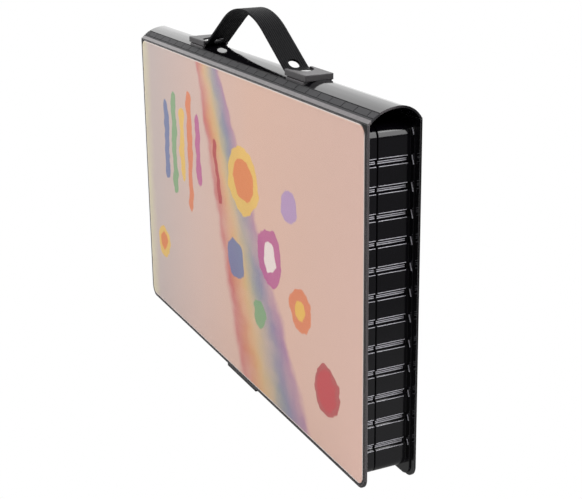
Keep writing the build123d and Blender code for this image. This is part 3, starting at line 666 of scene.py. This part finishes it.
def upright_grid(bm, rows, width, height, middle):
    """A flat grid in the XZ plane, with that many rows of faces."""
    bmesh.ops.create_grid(bm, x_segments=1, y_segments=rows, size=0.5)
    bmesh.ops.rotate(bm, verts=bm.verts, matrix=Matrix.Rotation(math.pi / 2, 3, "X"))
    bmesh.ops.scale(bm, verts=bm.verts, vec=(width, 1, height))
    bmesh.ops.translate(bm, verts=bm.verts, vec=middle)


# %% [markdown]
# The pocket over the card is one sheet of clear film, welded to the cover along a
# narrow rim that looks pale grey. It is a thin skin: a rounded rectangle whose
# middle is raised over the card, with a weld groove pressed into its rim.


# %% Clear film
def clear_film(name, alpha, dark, light):
    made, tree, shader, place = start(name, Alpha=alpha, IOR=1.5)
    ripple = use(tree, sheet_ripple, Place=place, Wave=45.0, Smooth=0.06, Haze=0.08)
    tint = mixed(tree, ripple["Height"], dark, light)
    rippled = bump(tree, ripple["Height"], 0.05, 2 * mm)
    give(tree, shader, Base_Color=tint, Roughness=ripple["Roughness"], Normal=rippled)
    return made


film_clear = clear_film("film_clear", 0.05, linear(228, 228, 232), linear(240, 240, 242))
film_weld = clear_film("film_weld", 0.55, linear(74, 70, 71), linear(112, 106, 108))

film_low, film_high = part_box("pocket_film")
film_skin = 0.1 * mm
film_corner = 9 * mm
rim_y = cover_low.y - film_skin / 2
rim_lip = 0.3 * mm
weld_width = 0.7 * mm
weld_depth = 0.06 * mm
rise_width = 0.6 * mm
rim_width = card_low.x - film_low.x
flat_width = rim_width - rim_lip - weld_width - rise_width / 2
lift = film_low.y + film_skin - rim_y
bm = bmesh.new()
film_size = film_high - film_low
film_middle = Vector(((film_low.x + film_high.x) / 2, rim_y, (film_low.z + film_high.z) / 2))
upright_grid(bm, 1, film_size.x, film_size.z, film_middle)
bmesh.ops.bevel(
    bm,
    geom=bm.verts[:],
    offset=film_corner,
    offset_type="OFFSET",
    affect="VERTICES",
    segments=6,
    profile=0.5,
    material=-1,
)
for width, step in ((rim_lip, 0.0), (weld_width, weld_depth), (flat_width, 0.0), (rise_width, lift)):
    face = max(bm.faces, key=lambda face: face.calc_area())
    bmesh.ops.inset_individual(bm, faces=[face], thickness=width, depth=0.0, use_even_offset=True)
    bmesh.ops.translate(bm, verts=face.verts, vec=(0, step, 0))
face.material_index = 1
film = finished(bm, "film_skin", film_weld, "front_half")
film.data.materials.append(film_clear)
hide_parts("pocket_film")
print("faces of the film:", len(film.data.polygons))

# %% [markdown]
# The tools in the trays come in rows, each piece in its own colour. A row is one
# node of the frame, so the colour follows the place along the row, in as many
# equal steps as there are pieces.


# %% Colours along a row
def rainbow(count):
    """Bright pigments round the colour wheel, then the same pigments darker."""
    wheel = [
        linear(214, 40, 44), linear(232, 104, 34), linear(242, 168, 40), linear(246, 216, 60),
        linear(152, 196, 62), linear(46, 150, 74), linear(40, 160, 160), linear(48, 126, 200),
        linear(44, 70, 160), linear(110, 64, 158), linear(206, 84, 152), linear(128, 78, 48),
    ]
    dark = [tuple(part * 0.55 for part in tint) for tint in wheel]
    return (wheel + dark)[:count]


def row_colours(tree, place, node, count):
    """A colour for each piece of a row that runs along X."""
    low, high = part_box(node)
    thick = high.y - low.y
    pitch = (high.x - low.x - thick) / (count - 1)
    begin = low.x + thick / 2 - pitch / 2
    share = ranged(tree, axes(tree, place)["X"], begin, begin + pitch * count)
    return ramp(tree, share, even_stops(rainbow(count)), "CONSTANT")


print("colours in the longest row:", len(rainbow(24)))

# %% [markdown]
# Pens have glossy moulded caps and plugs in the colour of their ink, and a felt
# nib of the same colour, which is matt and speckled.


# %% Pens
def row_plastic(name, node, count, smooth):
    made, tree, shader, place = start(name)
    base = row_colours(tree, place, node, count)
    finish_plastic(tree, shader, place, base, smooth, depth=0.03, edge=0.3 * mm)
    return made


pen_cap = row_plastic("pen_cap", "felt_pen_caps", 24, 0.2)
pen_plug = row_plastic("pen_plug", "felt_pen_plugs", 24, 0.25)
pen_nib, tree, shader, place = start("pen_nib", Roughness=0.95)
ink = row_colours(tree, place, "felt_pen_nibs", 24)
give(tree, shader, Base_Color=speckled(tree, place, ink, 4000.0, 0.4))
print("finishes of a pen:", pen_cap.name, pen_plug.name, pen_nib.name)

# %% [markdown]
# A pencil's shaft is lacquered, and ends in bare wood where it was sharpened. The
# boundary follows the place along the shaft, and noise makes it wavy, as a
# sharpener leaves it. Streaks along the shaft turn the bare end into cedar.

# %% Pencils
bare_tip = 15.5 * mm
wave_of_cut = 1.2 * mm


def wood_colour(tree, place):
    """Pale cedar with fine streaks along the shaft, which is upright in the tray."""
    drawn_out = put(tree, "ShaderNodeMapping", Vector=place, Scale=(900.0, 900.0, 40.0))
    streak = noise(tree, drawn_out, 1.0, 3.0)
    return mixed(tree, streak, linear(206, 158, 112), linear(168, 116, 76))


def pencil_paint(name, node, axis, lacquer=None, count=0):
    """Lacquer in one colour, or one for each pencil of a row, and a bare tip."""
    made, tree, shader, place = start(name, Coat_Weight=0.6, Coat_Roughness=0.1)
    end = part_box(node)[1]["XYZ".index(axis)]
    wobble = noise(tree, place, 700.0)
    at = maths(tree, "ADD", axes(tree, place)[axis], maths(tree, "MULTIPLY", wobble, wave_of_cut))
    bare = ranged(tree, at, end - bare_tip, end - bare_tip + 0.1 * mm)
    base = lacquer or row_colours(tree, place, node, count)
    give(
        tree,
        shader,
        Base_Color=mixed(tree, bare, base, wood_colour(tree, place)),
        Roughness=ranged(tree, bare, 0.0, 1.0, 0.25, 0.75),
        Normal=use(tree, soft_edges, Radius=0.3 * mm)["Normal"],
    )
    return made


pencil_coat = pencil_paint("pencil_coat", "colour_pencils", "Z", count=12)
graphite_coat = pencil_paint("graphite_coat", "graphite_pencil", "X", linear(226, 170, 40))
print("bare wood on a pencil in millimetres:", bare_tip / mm)

# %% [markdown]
# Crayons, pastels and leads are waxy sticks with a soft bloom, which a little
# subsurface light and a fine grain give. Graphite has a grain and a faint sheen.


# %% Wax, pigment and graphite
def waxy(name, node, rough=0.5):
    made, tree, shader, place = start(name, Subsurface_Weight=0.05)
    base = row_colours(tree, place, node, 12)
    bloom = finish_grain(tree, shader, place, base, 500.0, 0.12, rough, rough + 0.2)
    give(tree, shader, Normal=bump(tree, bloom["Height"], 0.2, 0.2 * mm))
    return made


pencil_lead = waxy("pencil_lead", "colour_pencil_leads", 0.6)
crayon_wax = waxy("crayon_wax", "crayon_sticks")
pastel_wax = waxy("pastel_wax", "oil_pastel_sticks", 0.6)
graphite_grey, tree, shader, place = start("graphite_grey", Metallic=0.2)
finish_grain(tree, shader, place, linear(58, 58, 62), 2500.0, 0.25, 0.35, 0.55)
print("waxy finishes:", pencil_lead.name, crayon_wax.name, pastel_wax.name)

# %% [markdown]
# The sticks are wrapped in paper printed in their own colour, with a pair of dark
# bands near each end. The bands follow the height along the stick.

# %% Paper wrappers
wrapper_bands = ((3.0 * mm, 1.2 * mm), (6.0 * mm, 0.5 * mm))


def wrapper_paper(name, node):
    made, tree, shader, place = start(name)
    low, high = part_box(node)
    base = row_colours(tree, place, node, 12)
    from_low = maths(tree, "SUBTRACT", axes(tree, place)["Z"], (low.z + high.z) / 2)
    from_end = maths(tree, "SUBTRACT", (high.z - low.z) / 2, maths(tree, "ABSOLUTE", from_low))
    for distance_in, width in wrapper_bands:
        off = maths(tree, "ABSOLUTE", maths(tree, "SUBTRACT", from_end, distance_in))
        band = ranged(tree, off, width / 2 + 0.1 * mm, width / 2)
        base = mixed(tree, band, base, linear(28, 28, 30))
    paper = finish_grain(tree, shader, place, base, 1600.0, 0.12, 0.7, 0.85)
    give(tree, shader, Normal=bump(tree, paper["Height"], 0.2, 0.1 * mm))
    return made


crayon_paper = wrapper_paper("crayon_paper", "crayon_wrappers")
pastel_paper = wrapper_paper("pastel_paper", "oil_pastel_wrappers")
print("bands at each end of a wrapper:", len(wrapper_bands))

# %% [markdown]
# The paint cakes stand in two rows, so their colour follows both X and Z: one ramp
# for each row, chosen by the height. Dry pressed paint is matt and slightly
# cracked, which a fine Voronoi pattern gives.

# %% Paint cakes
pigments = rainbow(12)
cake_low, cake_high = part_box("paint_cakes")
cake_paint, tree, shader, place = start("cake_paint")
parts = axes(tree, place)
along_row = ranged(tree, parts["X"], cake_low.x, cake_high.x)
upper_row, lower_row = [
    ramp(tree, along_row, even_stops(tints), "CONSTANT") for tints in (pigments[:6], pigments[6:])
]
is_upper = maths(tree, "GREATER_THAN", parts["Z"], (cake_low.z + cake_high.z) / 2)
pressed = mixed(tree, is_upper, lower_row, upper_row)
finish_grain(tree, shader, place, pressed, 700.0, 0.2, 0.8, 0.95)
crackle = put(tree, "ShaderNodeTexVoronoi", {"feature": "DISTANCE_TO_EDGE"}, Vector=place, Scale=450.0)
give(tree, shader, Normal=bump(tree, crackle.outputs[0], 0.3, 0.2 * mm))
print("paint cakes:", len(pigments))

# %% [markdown]
# The ruler is clear yellow plastic with a plain scale of ticks. Each set of ticks
# is a wave that goes up and down once in a step, cut off near its lowest points
# and below its own length.

# %% Ruler
tick_sets = ((1.0, 2.5 * mm, 0.16), (5.0, 4.0 * mm, 0.2), (10.0, 6.0 * mm, 0.26))
ruler_low, ruler_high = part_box("ruler")
ruler_yellow, tree, shader, place = start("ruler_yellow", Alpha=0.8)
parts = axes(tree, place)
from_start = maths(tree, "DIVIDE", maths(tree, "SUBTRACT", parts["X"], ruler_low.x), mm)
from_top = maths(tree, "SUBTRACT", ruler_high.z, parts["Z"])
ticks = 0.0
for step, tick_length, width in tick_sets:
    near = maths(tree, "LESS_THAN", maths(tree, "PINGPONG", from_start, step / 2), width)
    in_reach = maths(tree, "LESS_THAN", from_top, tick_length)
    ticks = maths(tree, "MAXIMUM", ticks, maths(tree, "MULTIPLY", near, in_reach))
ruler_tint = mixed(tree, ticks, linear(240, 208, 70), linear(30, 28, 24))
finish_plastic(tree, shader, place, ruler_tint, 0.12, depth=0.02)
print("ruler in millimetres:", round((ruler_high.x - ruler_low.x) / mm, 1))

# %% [markdown]
# Metal parts are plated steel or drawn aluminium. Both show fine lines from how
# they were made, so a Mapping node draws their noise out along the lines.


# %% Metal parts
def metal(name, base, smooth, line_scale):
    made, tree, shader, place = start(name, Metallic=1.0)
    lines = put(tree, "ShaderNodeMapping", Vector=place, Scale=line_scale)
    brushed = noise(tree, lines, 1.0, 3.0)
    dark = tuple(part * 0.7 for part in base)
    give(
        tree,
        shader,
        Base_Color=mixed(tree, brushed, base, dark),
        Roughness=ranged(tree, brushed, 0.3, 0.7, smooth, smooth + 0.15),
        Normal=use(tree, soft_edges, Radius=0.3 * mm)["Normal"],
    )
    return made


plated_steel = metal("plated_steel", linear(190, 190, 194), 0.25, (300.0, 3000.0, 3000.0))
drawn_aluminium = metal("drawn_aluminium", linear(214, 214, 216), 0.2, (3500.0, 200.0, 200.0))
print("metals:", plated_steel.name, drawn_aluminium.name)

# %% [markdown]
# The other small tools are plain mouldings in bright colours, and a chalky white
# eraser in a card sleeve. The sleeve is printed in three even bands along X.

# %% Small tools
brush_red = plastic("brush_red", linear(178, 26, 30), 0.18, haze=0.1)
glue_orange = plastic("glue_orange", linear(236, 128, 34), 0.25)
sharpener_blue = plastic("sharpener_blue", linear(34, 104, 190), 0.22)
clip_green = plastic("clip_green", linear(52, 150, 84), 0.25)
eraser_white, tree, shader, place = start("eraser_white")
finish_grain(tree, shader, place, linear(240, 240, 236), 600.0, 0.04, 0.6, 0.75)

sleeve_low, sleeve_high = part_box("eraser_sleeve")
sleeve_card, tree, shader, place = start("sleeve_card")
third = ranged(tree, axes(tree, place)["X"], sleeve_low.x, sleeve_high.x, 0.0, 3.0)
is_blue = maths(tree, "LESS_THAN", third, 1.0)
is_green = maths(tree, "GREATER_THAN", third, 2.0)
bands = mixed(tree, is_blue, linear(238, 238, 236), linear(40, 92, 170))
bands = mixed(tree, is_green, bands, linear(60, 150, 96))
finish_grain(tree, shader, place, bands, 1500.0, 0.06, 0.5, 0.65)
print("finishes so far:", len(bpy.data.materials))

# %% [markdown]
# Brush hair is a bundle of single hairs, so the plain cone of the frame is replaced
# by thin three-sided cones that leave the ferrule together and close to a point.
# The hairs fill the tuft in a spiral, which spreads them evenly.

# %% Brush hair
hair_brown, tree, shader, place = start("hair_brown", Roughness=0.55)
give(tree, shader, Base_Color=speckled(tree, place, linear(96, 60, 36), 1800.0, 0.5))
hair_count = 90
spiral_turn = math.radians(137.5)
root_radius = 0.16 * mm
tip_radius = 0.04 * mm
root_sink = 0.5 * mm
tip_margin = 0.3 * mm
gather = 0.12
hair_low, hair_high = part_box("brush_hair")
tuft_length = hair_high.x - hair_low.x
tuft_radius = (hair_high.z - hair_low.z) / 2 - 0.2 * mm
tuft_y = (hair_low.y + hair_high.y) / 2
tuft_z = (hair_low.z + hair_high.z) / 2
chance = random.Random(4)
bm = bmesh.new()
for index in range(hair_count):
    off_middle = tuft_radius * math.sqrt((index + 0.5) / hair_count)
    angle = index * spiral_turn
    aside = Vector((0, math.cos(angle), math.sin(angle))) * off_middle
    hair_length = tuft_length * chance.uniform(0.86, 1.0)
    root = Vector((hair_low.x - root_sink, tuft_y, tuft_z)) + aside
    tip = Vector((hair_low.x + hair_length - tip_margin, tuft_y, tuft_z)) + aside * gather
    strand = tip - root
    turned = strand.to_track_quat("Z", "Y").to_matrix().to_4x4()
    bmesh.ops.create_cone(
        bm,
        cap_ends=True,
        segments=3,
        radius1=root_radius,
        radius2=tip_radius,
        depth=strand.length,
        matrix=Matrix.Translation((root + tip) / 2) @ turned,
    )
hair = finished(bm, "brush_hairs", hair_brown, "front_half")
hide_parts("brush_hair")
print("hairs in the brush:", hair_count)

# %% [markdown]
# The cover of the real case is one sheet, folded at two living hinges. In the frame
# the panels and the spine are 0.2 mm apart, so each hinge gets a thin strip of the
# same sheet.

# %% Living hinges
strip_height = 1.4 * mm
strip_sink = 0.12 * mm
strip_thick = 0.1 * mm
strip_end_gap = 0.1 * mm
crease = cover_high.z


def hinge_strip(name, y, inward, spine_first):
    """A thin strip over the gap at a crease, in eight rows across."""
    bm = bmesh.new()
    length = cover_high.x - cover_low.x - 2 * strip_end_gap
    upright_grid(bm, 8, length, strip_height, (0, y + inward * strip_sink, crease))
    bmesh.ops.solidify(bm, geom=bm.faces[:], thickness=strip_thick)
    bmesh.ops.recalc_face_normals(bm, faces=bm.faces)
    strip = new_object(bm, name, black_sheet)
    if spine_first:
        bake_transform(strip)
    else:
        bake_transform(strip)


back_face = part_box("back_cover")[1].y
hinge_strip("front_living_hinge", cover_low.y, 1, True)
hinge_strip("back_living_hinge", back_face, -1, False)
print("creases at a height in millimetres:", round(crease / mm, 1))

# %% [markdown]
# Pale lines of painted highlight follow the edges of each flute in the end walls:
# one along each edge of its mouth and two along its floor. They are thin strips that
# lie in the surface of the wall. Beside each flute of the back tray, and under its top
# edge, a short slanting fold runs out on the flange, pale with the same painted
# highlight. The folds shorten towards the foot.

# %% Painted highlight lines and folds
flute_count = 12
flute_pitch = 17.0 * mm
first_flute_drop = 22.0 * mm
flange_thick = 1.0 * mm
flange_reach = 4.5 * mm
top_flange_reach = 1.3 * mm
wall_x = back_tray_high.x - flange_reach
tray_top = back_tray_high.z - top_flange_reach
flute_heights = [tray_top - first_flute_drop - index * flute_pitch for index in range(flute_count)]
floor_depth = 1.8 * mm
painted_highlight_lines = (
    (2.45 * mm, 0.0, 0.4 * mm),
    (0.25 * mm, floor_depth, 0.5 * mm),
    (-0.85 * mm, floor_depth, 0.5 * mm),
    (-2.45 * mm, 0.0, 0.4 * mm),
)
line_thick = 0.1 * mm
end_gap = 1.2 * mm
cover_side_gap = flange_thick + end_gap


def add_strip(bm, size, middle, slant=0.0):
    made = bmesh.ops.create_cube(bm, size=1.0)["verts"]
    bmesh.ops.scale(bm, verts=made, vec=size)
    bmesh.ops.rotate(bm, verts=made, matrix=Matrix.Rotation(slant, 3, "Y"))
    bmesh.ops.translate(bm, verts=made, vec=middle)


# Each line is a pale strip of painted highlight.
for node, body in (("front_tray", "front_half"), ("back_tray", "back_half")):
    low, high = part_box(node)
    line_low = low.y + end_gap / 2 + (cover_side_gap if node == "front_tray" else 0.0)
    line_high = high.y - end_gap / 2 - (cover_side_gap if node == "back_tray" else 0.0)
    line_y = (line_low + line_high) / 2
    bm = bmesh.new()
    for side in (-1, 1):
        for flute_z in flute_heights:
            for over, sunk, width in painted_highlight_lines:
                size = (line_thick, line_high - line_low, width)
                add_strip(bm, size, (side * (wall_x - sunk), line_y, flute_z + over))
    finished(bm, node + "_painted_highlight_lines", painted_highlight_sheet, body)

fold_width = 0.8 * mm
fold_height = 0.3 * mm
first_fold_drop = 5.9 * mm
last_fold_drop = 3.8 * mm
fold_slope = 0.4
fold_start = 1.8 * mm
top_fold_inset = 4.6 * mm
top_fold_share = 0.75
fold_shortening = (first_fold_drop - last_fold_drop) / (flute_count - 1)
fold_y = back_tray_high.y - flange_thick - fold_height / 2
fold_places = [(tray_top - top_fold_inset, top_fold_share * first_fold_drop)]
for index, flute_z in enumerate(flute_heights):
    fold_places.append((flute_z, first_fold_drop - index * fold_shortening))
# The folds carry the same painted highlight.
bm = bmesh.new()
for side in (-1, 1):
    for fold_z, drop in fold_places:
        fold_x = side * (wall_x + fold_start + fold_slope * drop / 2)
        slant = -side * math.atan(fold_slope)
        add_strip(bm, (fold_width, fold_height, drop), (fold_x, fold_y, fold_z), slant)
finished(bm, "flange_fold_highlights", painted_highlight_sheet, "back_half")
print("folds on the flange:", 2 * len(fold_places))

# %% [markdown]
# A pale pad in the window of each of the strap's tails, under the notch of the end
# block, is a painted highlight that stands in for light reflected from the spine there.
# It is a thin oval disc that lies just under the strap's upper face.

# %% Painted highlight pads in the strap's windows
block_low, block_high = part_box("handle_block_right")
pad_drop = 1.3 * mm
window_inset = 10.5 * mm
pad_half_length = 4.3 * mm
pad_half_width = 5.3 * mm
pad_thick = 0.5 * mm
pad_x = block_low.x + window_inset
pad_y = (strap_low.y + strap_high.y) / 2
pad_z = block_high.z - pad_drop - pad_thick / 2
# Painted highlight: pale discs that stand in for light reflected from the spine.
bm = bmesh.new()
for side in (-1, 1):
    disc = bmesh.ops.create_cone(bm, cap_ends=True, segments=40, radius1=1.0, radius2=1.0, depth=1.0)
    bmesh.ops.scale(bm, verts=disc["verts"], vec=(pad_half_length, pad_half_width, pad_thick))
    bmesh.ops.translate(bm, verts=disc["verts"], vec=(side * pad_x, pad_y, pad_z))
finished(bm, "window_highlight_pads", white_plastic, "spine")
print("pads at a height in millimetres:", round(pad_z / mm, 1))

# %% [markdown]
# Now every piece of the frame takes its finish. The list goes by finish, which
# shows at once what is made of what.

# %% Give each piece its finish
finishes = {
    black_sheet: ["front_cover", "back_cover"],
    spine_sheet: ["spine"],
    tray_sheet: ["front_tray", "back_tray"],
    clasp_black: ["clasp_flap", "clasp_mount", "clasp_catch"],
    strap_black: ["handle_strap"],
    block_black: ["handle_block_left", "handle_block_right"],
    plated_steel: [
        "handle_backing_plates", "handle_screws", "clasp_pin", "sharpener_blade", "sharpener_screw",
    ],
    card_print: ["print_card"],
    film_clear: ["pocket_film"],
    white_plastic: ["felt_pen_barrels", "paint_palette", "glue_stick_body"],
    pen_cap: ["felt_pen_caps"],
    pen_plug: ["felt_pen_plugs"],
    pen_nib: ["felt_pen_nibs"],
    pencil_coat: ["colour_pencils"],
    graphite_coat: ["graphite_pencil"],
    pencil_lead: ["colour_pencil_leads"],
    graphite_grey: ["graphite_pencil_lead"],
    crayon_wax: ["crayon_sticks"],
    crayon_paper: ["crayon_wrappers"],
    pastel_wax: ["oil_pastel_sticks"],
    pastel_paper: ["oil_pastel_wrappers"],
    cake_paint: ["paint_cakes"],
    ruler_yellow: ["ruler"],
    brush_red: ["brush_handle"],
    drawn_aluminium: ["brush_ferrule"],
    hair_brown: ["brush_hair"],
    glue_orange: ["glue_stick_cap"],
    eraser_white: ["eraser"],
    sleeve_card: ["eraser_sleeve"],
    sharpener_blue: ["sharpener_body"],
    clip_green: ["paper_clips"],
}
for finish, names in finishes.items():
    for name in names:
        mesh = nodes[name].data
        mesh.materials.clear()
        mesh.materials.append(finish)
dressed = sum(len(names) for names in finishes.values())
print("pieces with a finish:", dressed, "of", len(nodes))

# %% [markdown]
# The photograph has a pure white ground. So the floor and the world are white to
# the camera, and plain and pale to the rays that light the case. Black plastic
# shows little but reflections, and in these both have a glow that changes by
# place, which gives the bright and dark zones of the photograph.


# %% What each kind of ray sees
def seen_by_rays(tree, kind, plain, glow_level):
    """Plain to most rays, a glow of its own in reflections, and white to the camera."""
    rays = put(tree, "ShaderNodeLightPath").outputs
    in_gloss = maths(tree, "MAXIMUM", rays["Is Glossy Ray"], rays["Is Transmission Ray"])
    glow = put(tree, kind, Color=white, Strength=glow_level)
    to_camera = put(tree, kind, Color=white, Strength=1.0)
    unseen = put(tree, "ShaderNodeMixShader", None, in_gloss, plain, glow)
    return put(tree, "ShaderNodeMixShader", None, rays["Is Camera Ray"], unseen, to_camera)


bright_glow = 1.7
print("brightest glow in reflections:", bright_glow)

# %% [markdown]
# The floor is one large square just under the case. In reflections it glows dimly,
# changes a little at the case's right end, and is bright behind the left half of
# the case. Each zone below is where a change begins and ends, in metres.

# %% Floor
floor_half = 3.0
floor_gap = 0.5 * mm
left_glow = 0.35
near_right_glow = 0.45
far_right_glow = 0.2
case_end = (0.18, 0.22)
right_fade = (0.3, 0.5)
behind_case = (0.2, 0.35)
left_of_middle = (0.1, 0.0)
floor_pale = empty_material("floor_pale")
tree = floor_pale.node_tree
spots = axes(tree, put(tree, "ShaderNodeTexCoord").outputs["Object"])
right_of_case = ranged(tree, spots["X"], *case_end)
right_glow = ranged(tree, spots["X"], *right_fade, near_right_glow, far_right_glow)
right_part = maths(tree, "MULTIPLY", right_of_case, right_glow)
left_part = maths(tree, "MULTIPLY", maths(tree, "SUBTRACT", 1.0, right_of_case), left_glow)
is_behind = ranged(tree, spots["Y"], *behind_case)
behind_glow = ranged(tree, spots["X"], *left_of_middle, 0.0, bright_glow)
behind_part = maths(tree, "MULTIPLY", is_behind, behind_glow)
glow_level = maths(tree, "MAXIMUM", maths(tree, "ADD", right_part, left_part), behind_part)
matt = put(tree, "ShaderNodeBsdfDiffuse", Color=(0.5, 0.5, 0.5))
surface = seen_by_rays(tree, "ShaderNodeEmission", matt, glow_level)
put(tree, "ShaderNodeOutputMaterial", Surface=surface)

bm = bmesh.new()
bmesh.ops.create_grid(bm, x_segments=1, y_segments=1, size=floor_half)
floor = new_object(bm, "floor", floor_pale)
floor.location.z = cad_box[0][2] - floor_gap
print("floor's side in metres:", 2 * floor_half)

# %% [markdown]
# The world fills in the rest of the room. Its coordinates are directions, and its
# glow in reflections changes from bright on the left to dark on the right.

# %% World
plain_strength = 0.45
dark_glow = 0.12
right_to_left = (0.9, -0.3)
world = bpy.data.worlds.new("studio")
world.use_nodes = True
bpy.context.scene.world = world
tree = world.node_tree
tree.nodes.clear()
direction = put(tree, "ShaderNodeTexCoord").outputs["Generated"]
sky = ranged(tree, axes(tree, direction)["X"], *right_to_left, dark_glow, bright_glow)
plain_light = put(tree, "ShaderNodeBackground", Color=white, Strength=plain_strength)
put(tree, "ShaderNodeOutputWorld", Surface=seen_by_rays(tree, "ShaderNodeBackground", plain_light, sky))
print("world:", world.name)

# %% [markdown]
# Three large lights do the rest, with soft shadows. A long one above and behind
# lights the spine and the strap, one in front lights the print, and one beyond the
# right end lights the ends of the trays.


# %% Lights
def soft_light(name, place, target, size, power):
    data = bpy.data.lights.new(name, "AREA")
    data.shape = "RECTANGLE"
    data.size = size[0]
    data.size_y = size[1]
    data.energy = power
    light = bpy.data.objects.new(name, data)
    light.location = place
    look = Vector(target) - Vector(place)
    light.rotation_euler = look.to_track_quat("-Z", "Y").to_euler()
    bpy.context.scene.collection.objects.link(light)


soft_light("overhead", (0.2, 0.65, 1.35), (0.0, 0.0, 0.2), (2.1, 0.5), 13)
soft_light("front", (-0.5, -1.8, 0.9), (0.0, 0.0, 0.13), (1.2, 1.2), 23)
soft_light("near_end", (1.0, 0.38, 0.8), (0.19, 0.0, 0.2), (0.8, 1.1), 11)
print("power of the lights in watts:", [light.energy for light in bpy.data.lights])

# %% [markdown]
# Last, colours are shown as they are, without a film-like curve.

bpy.context.scene.view_settings.view_transform = "Standard"
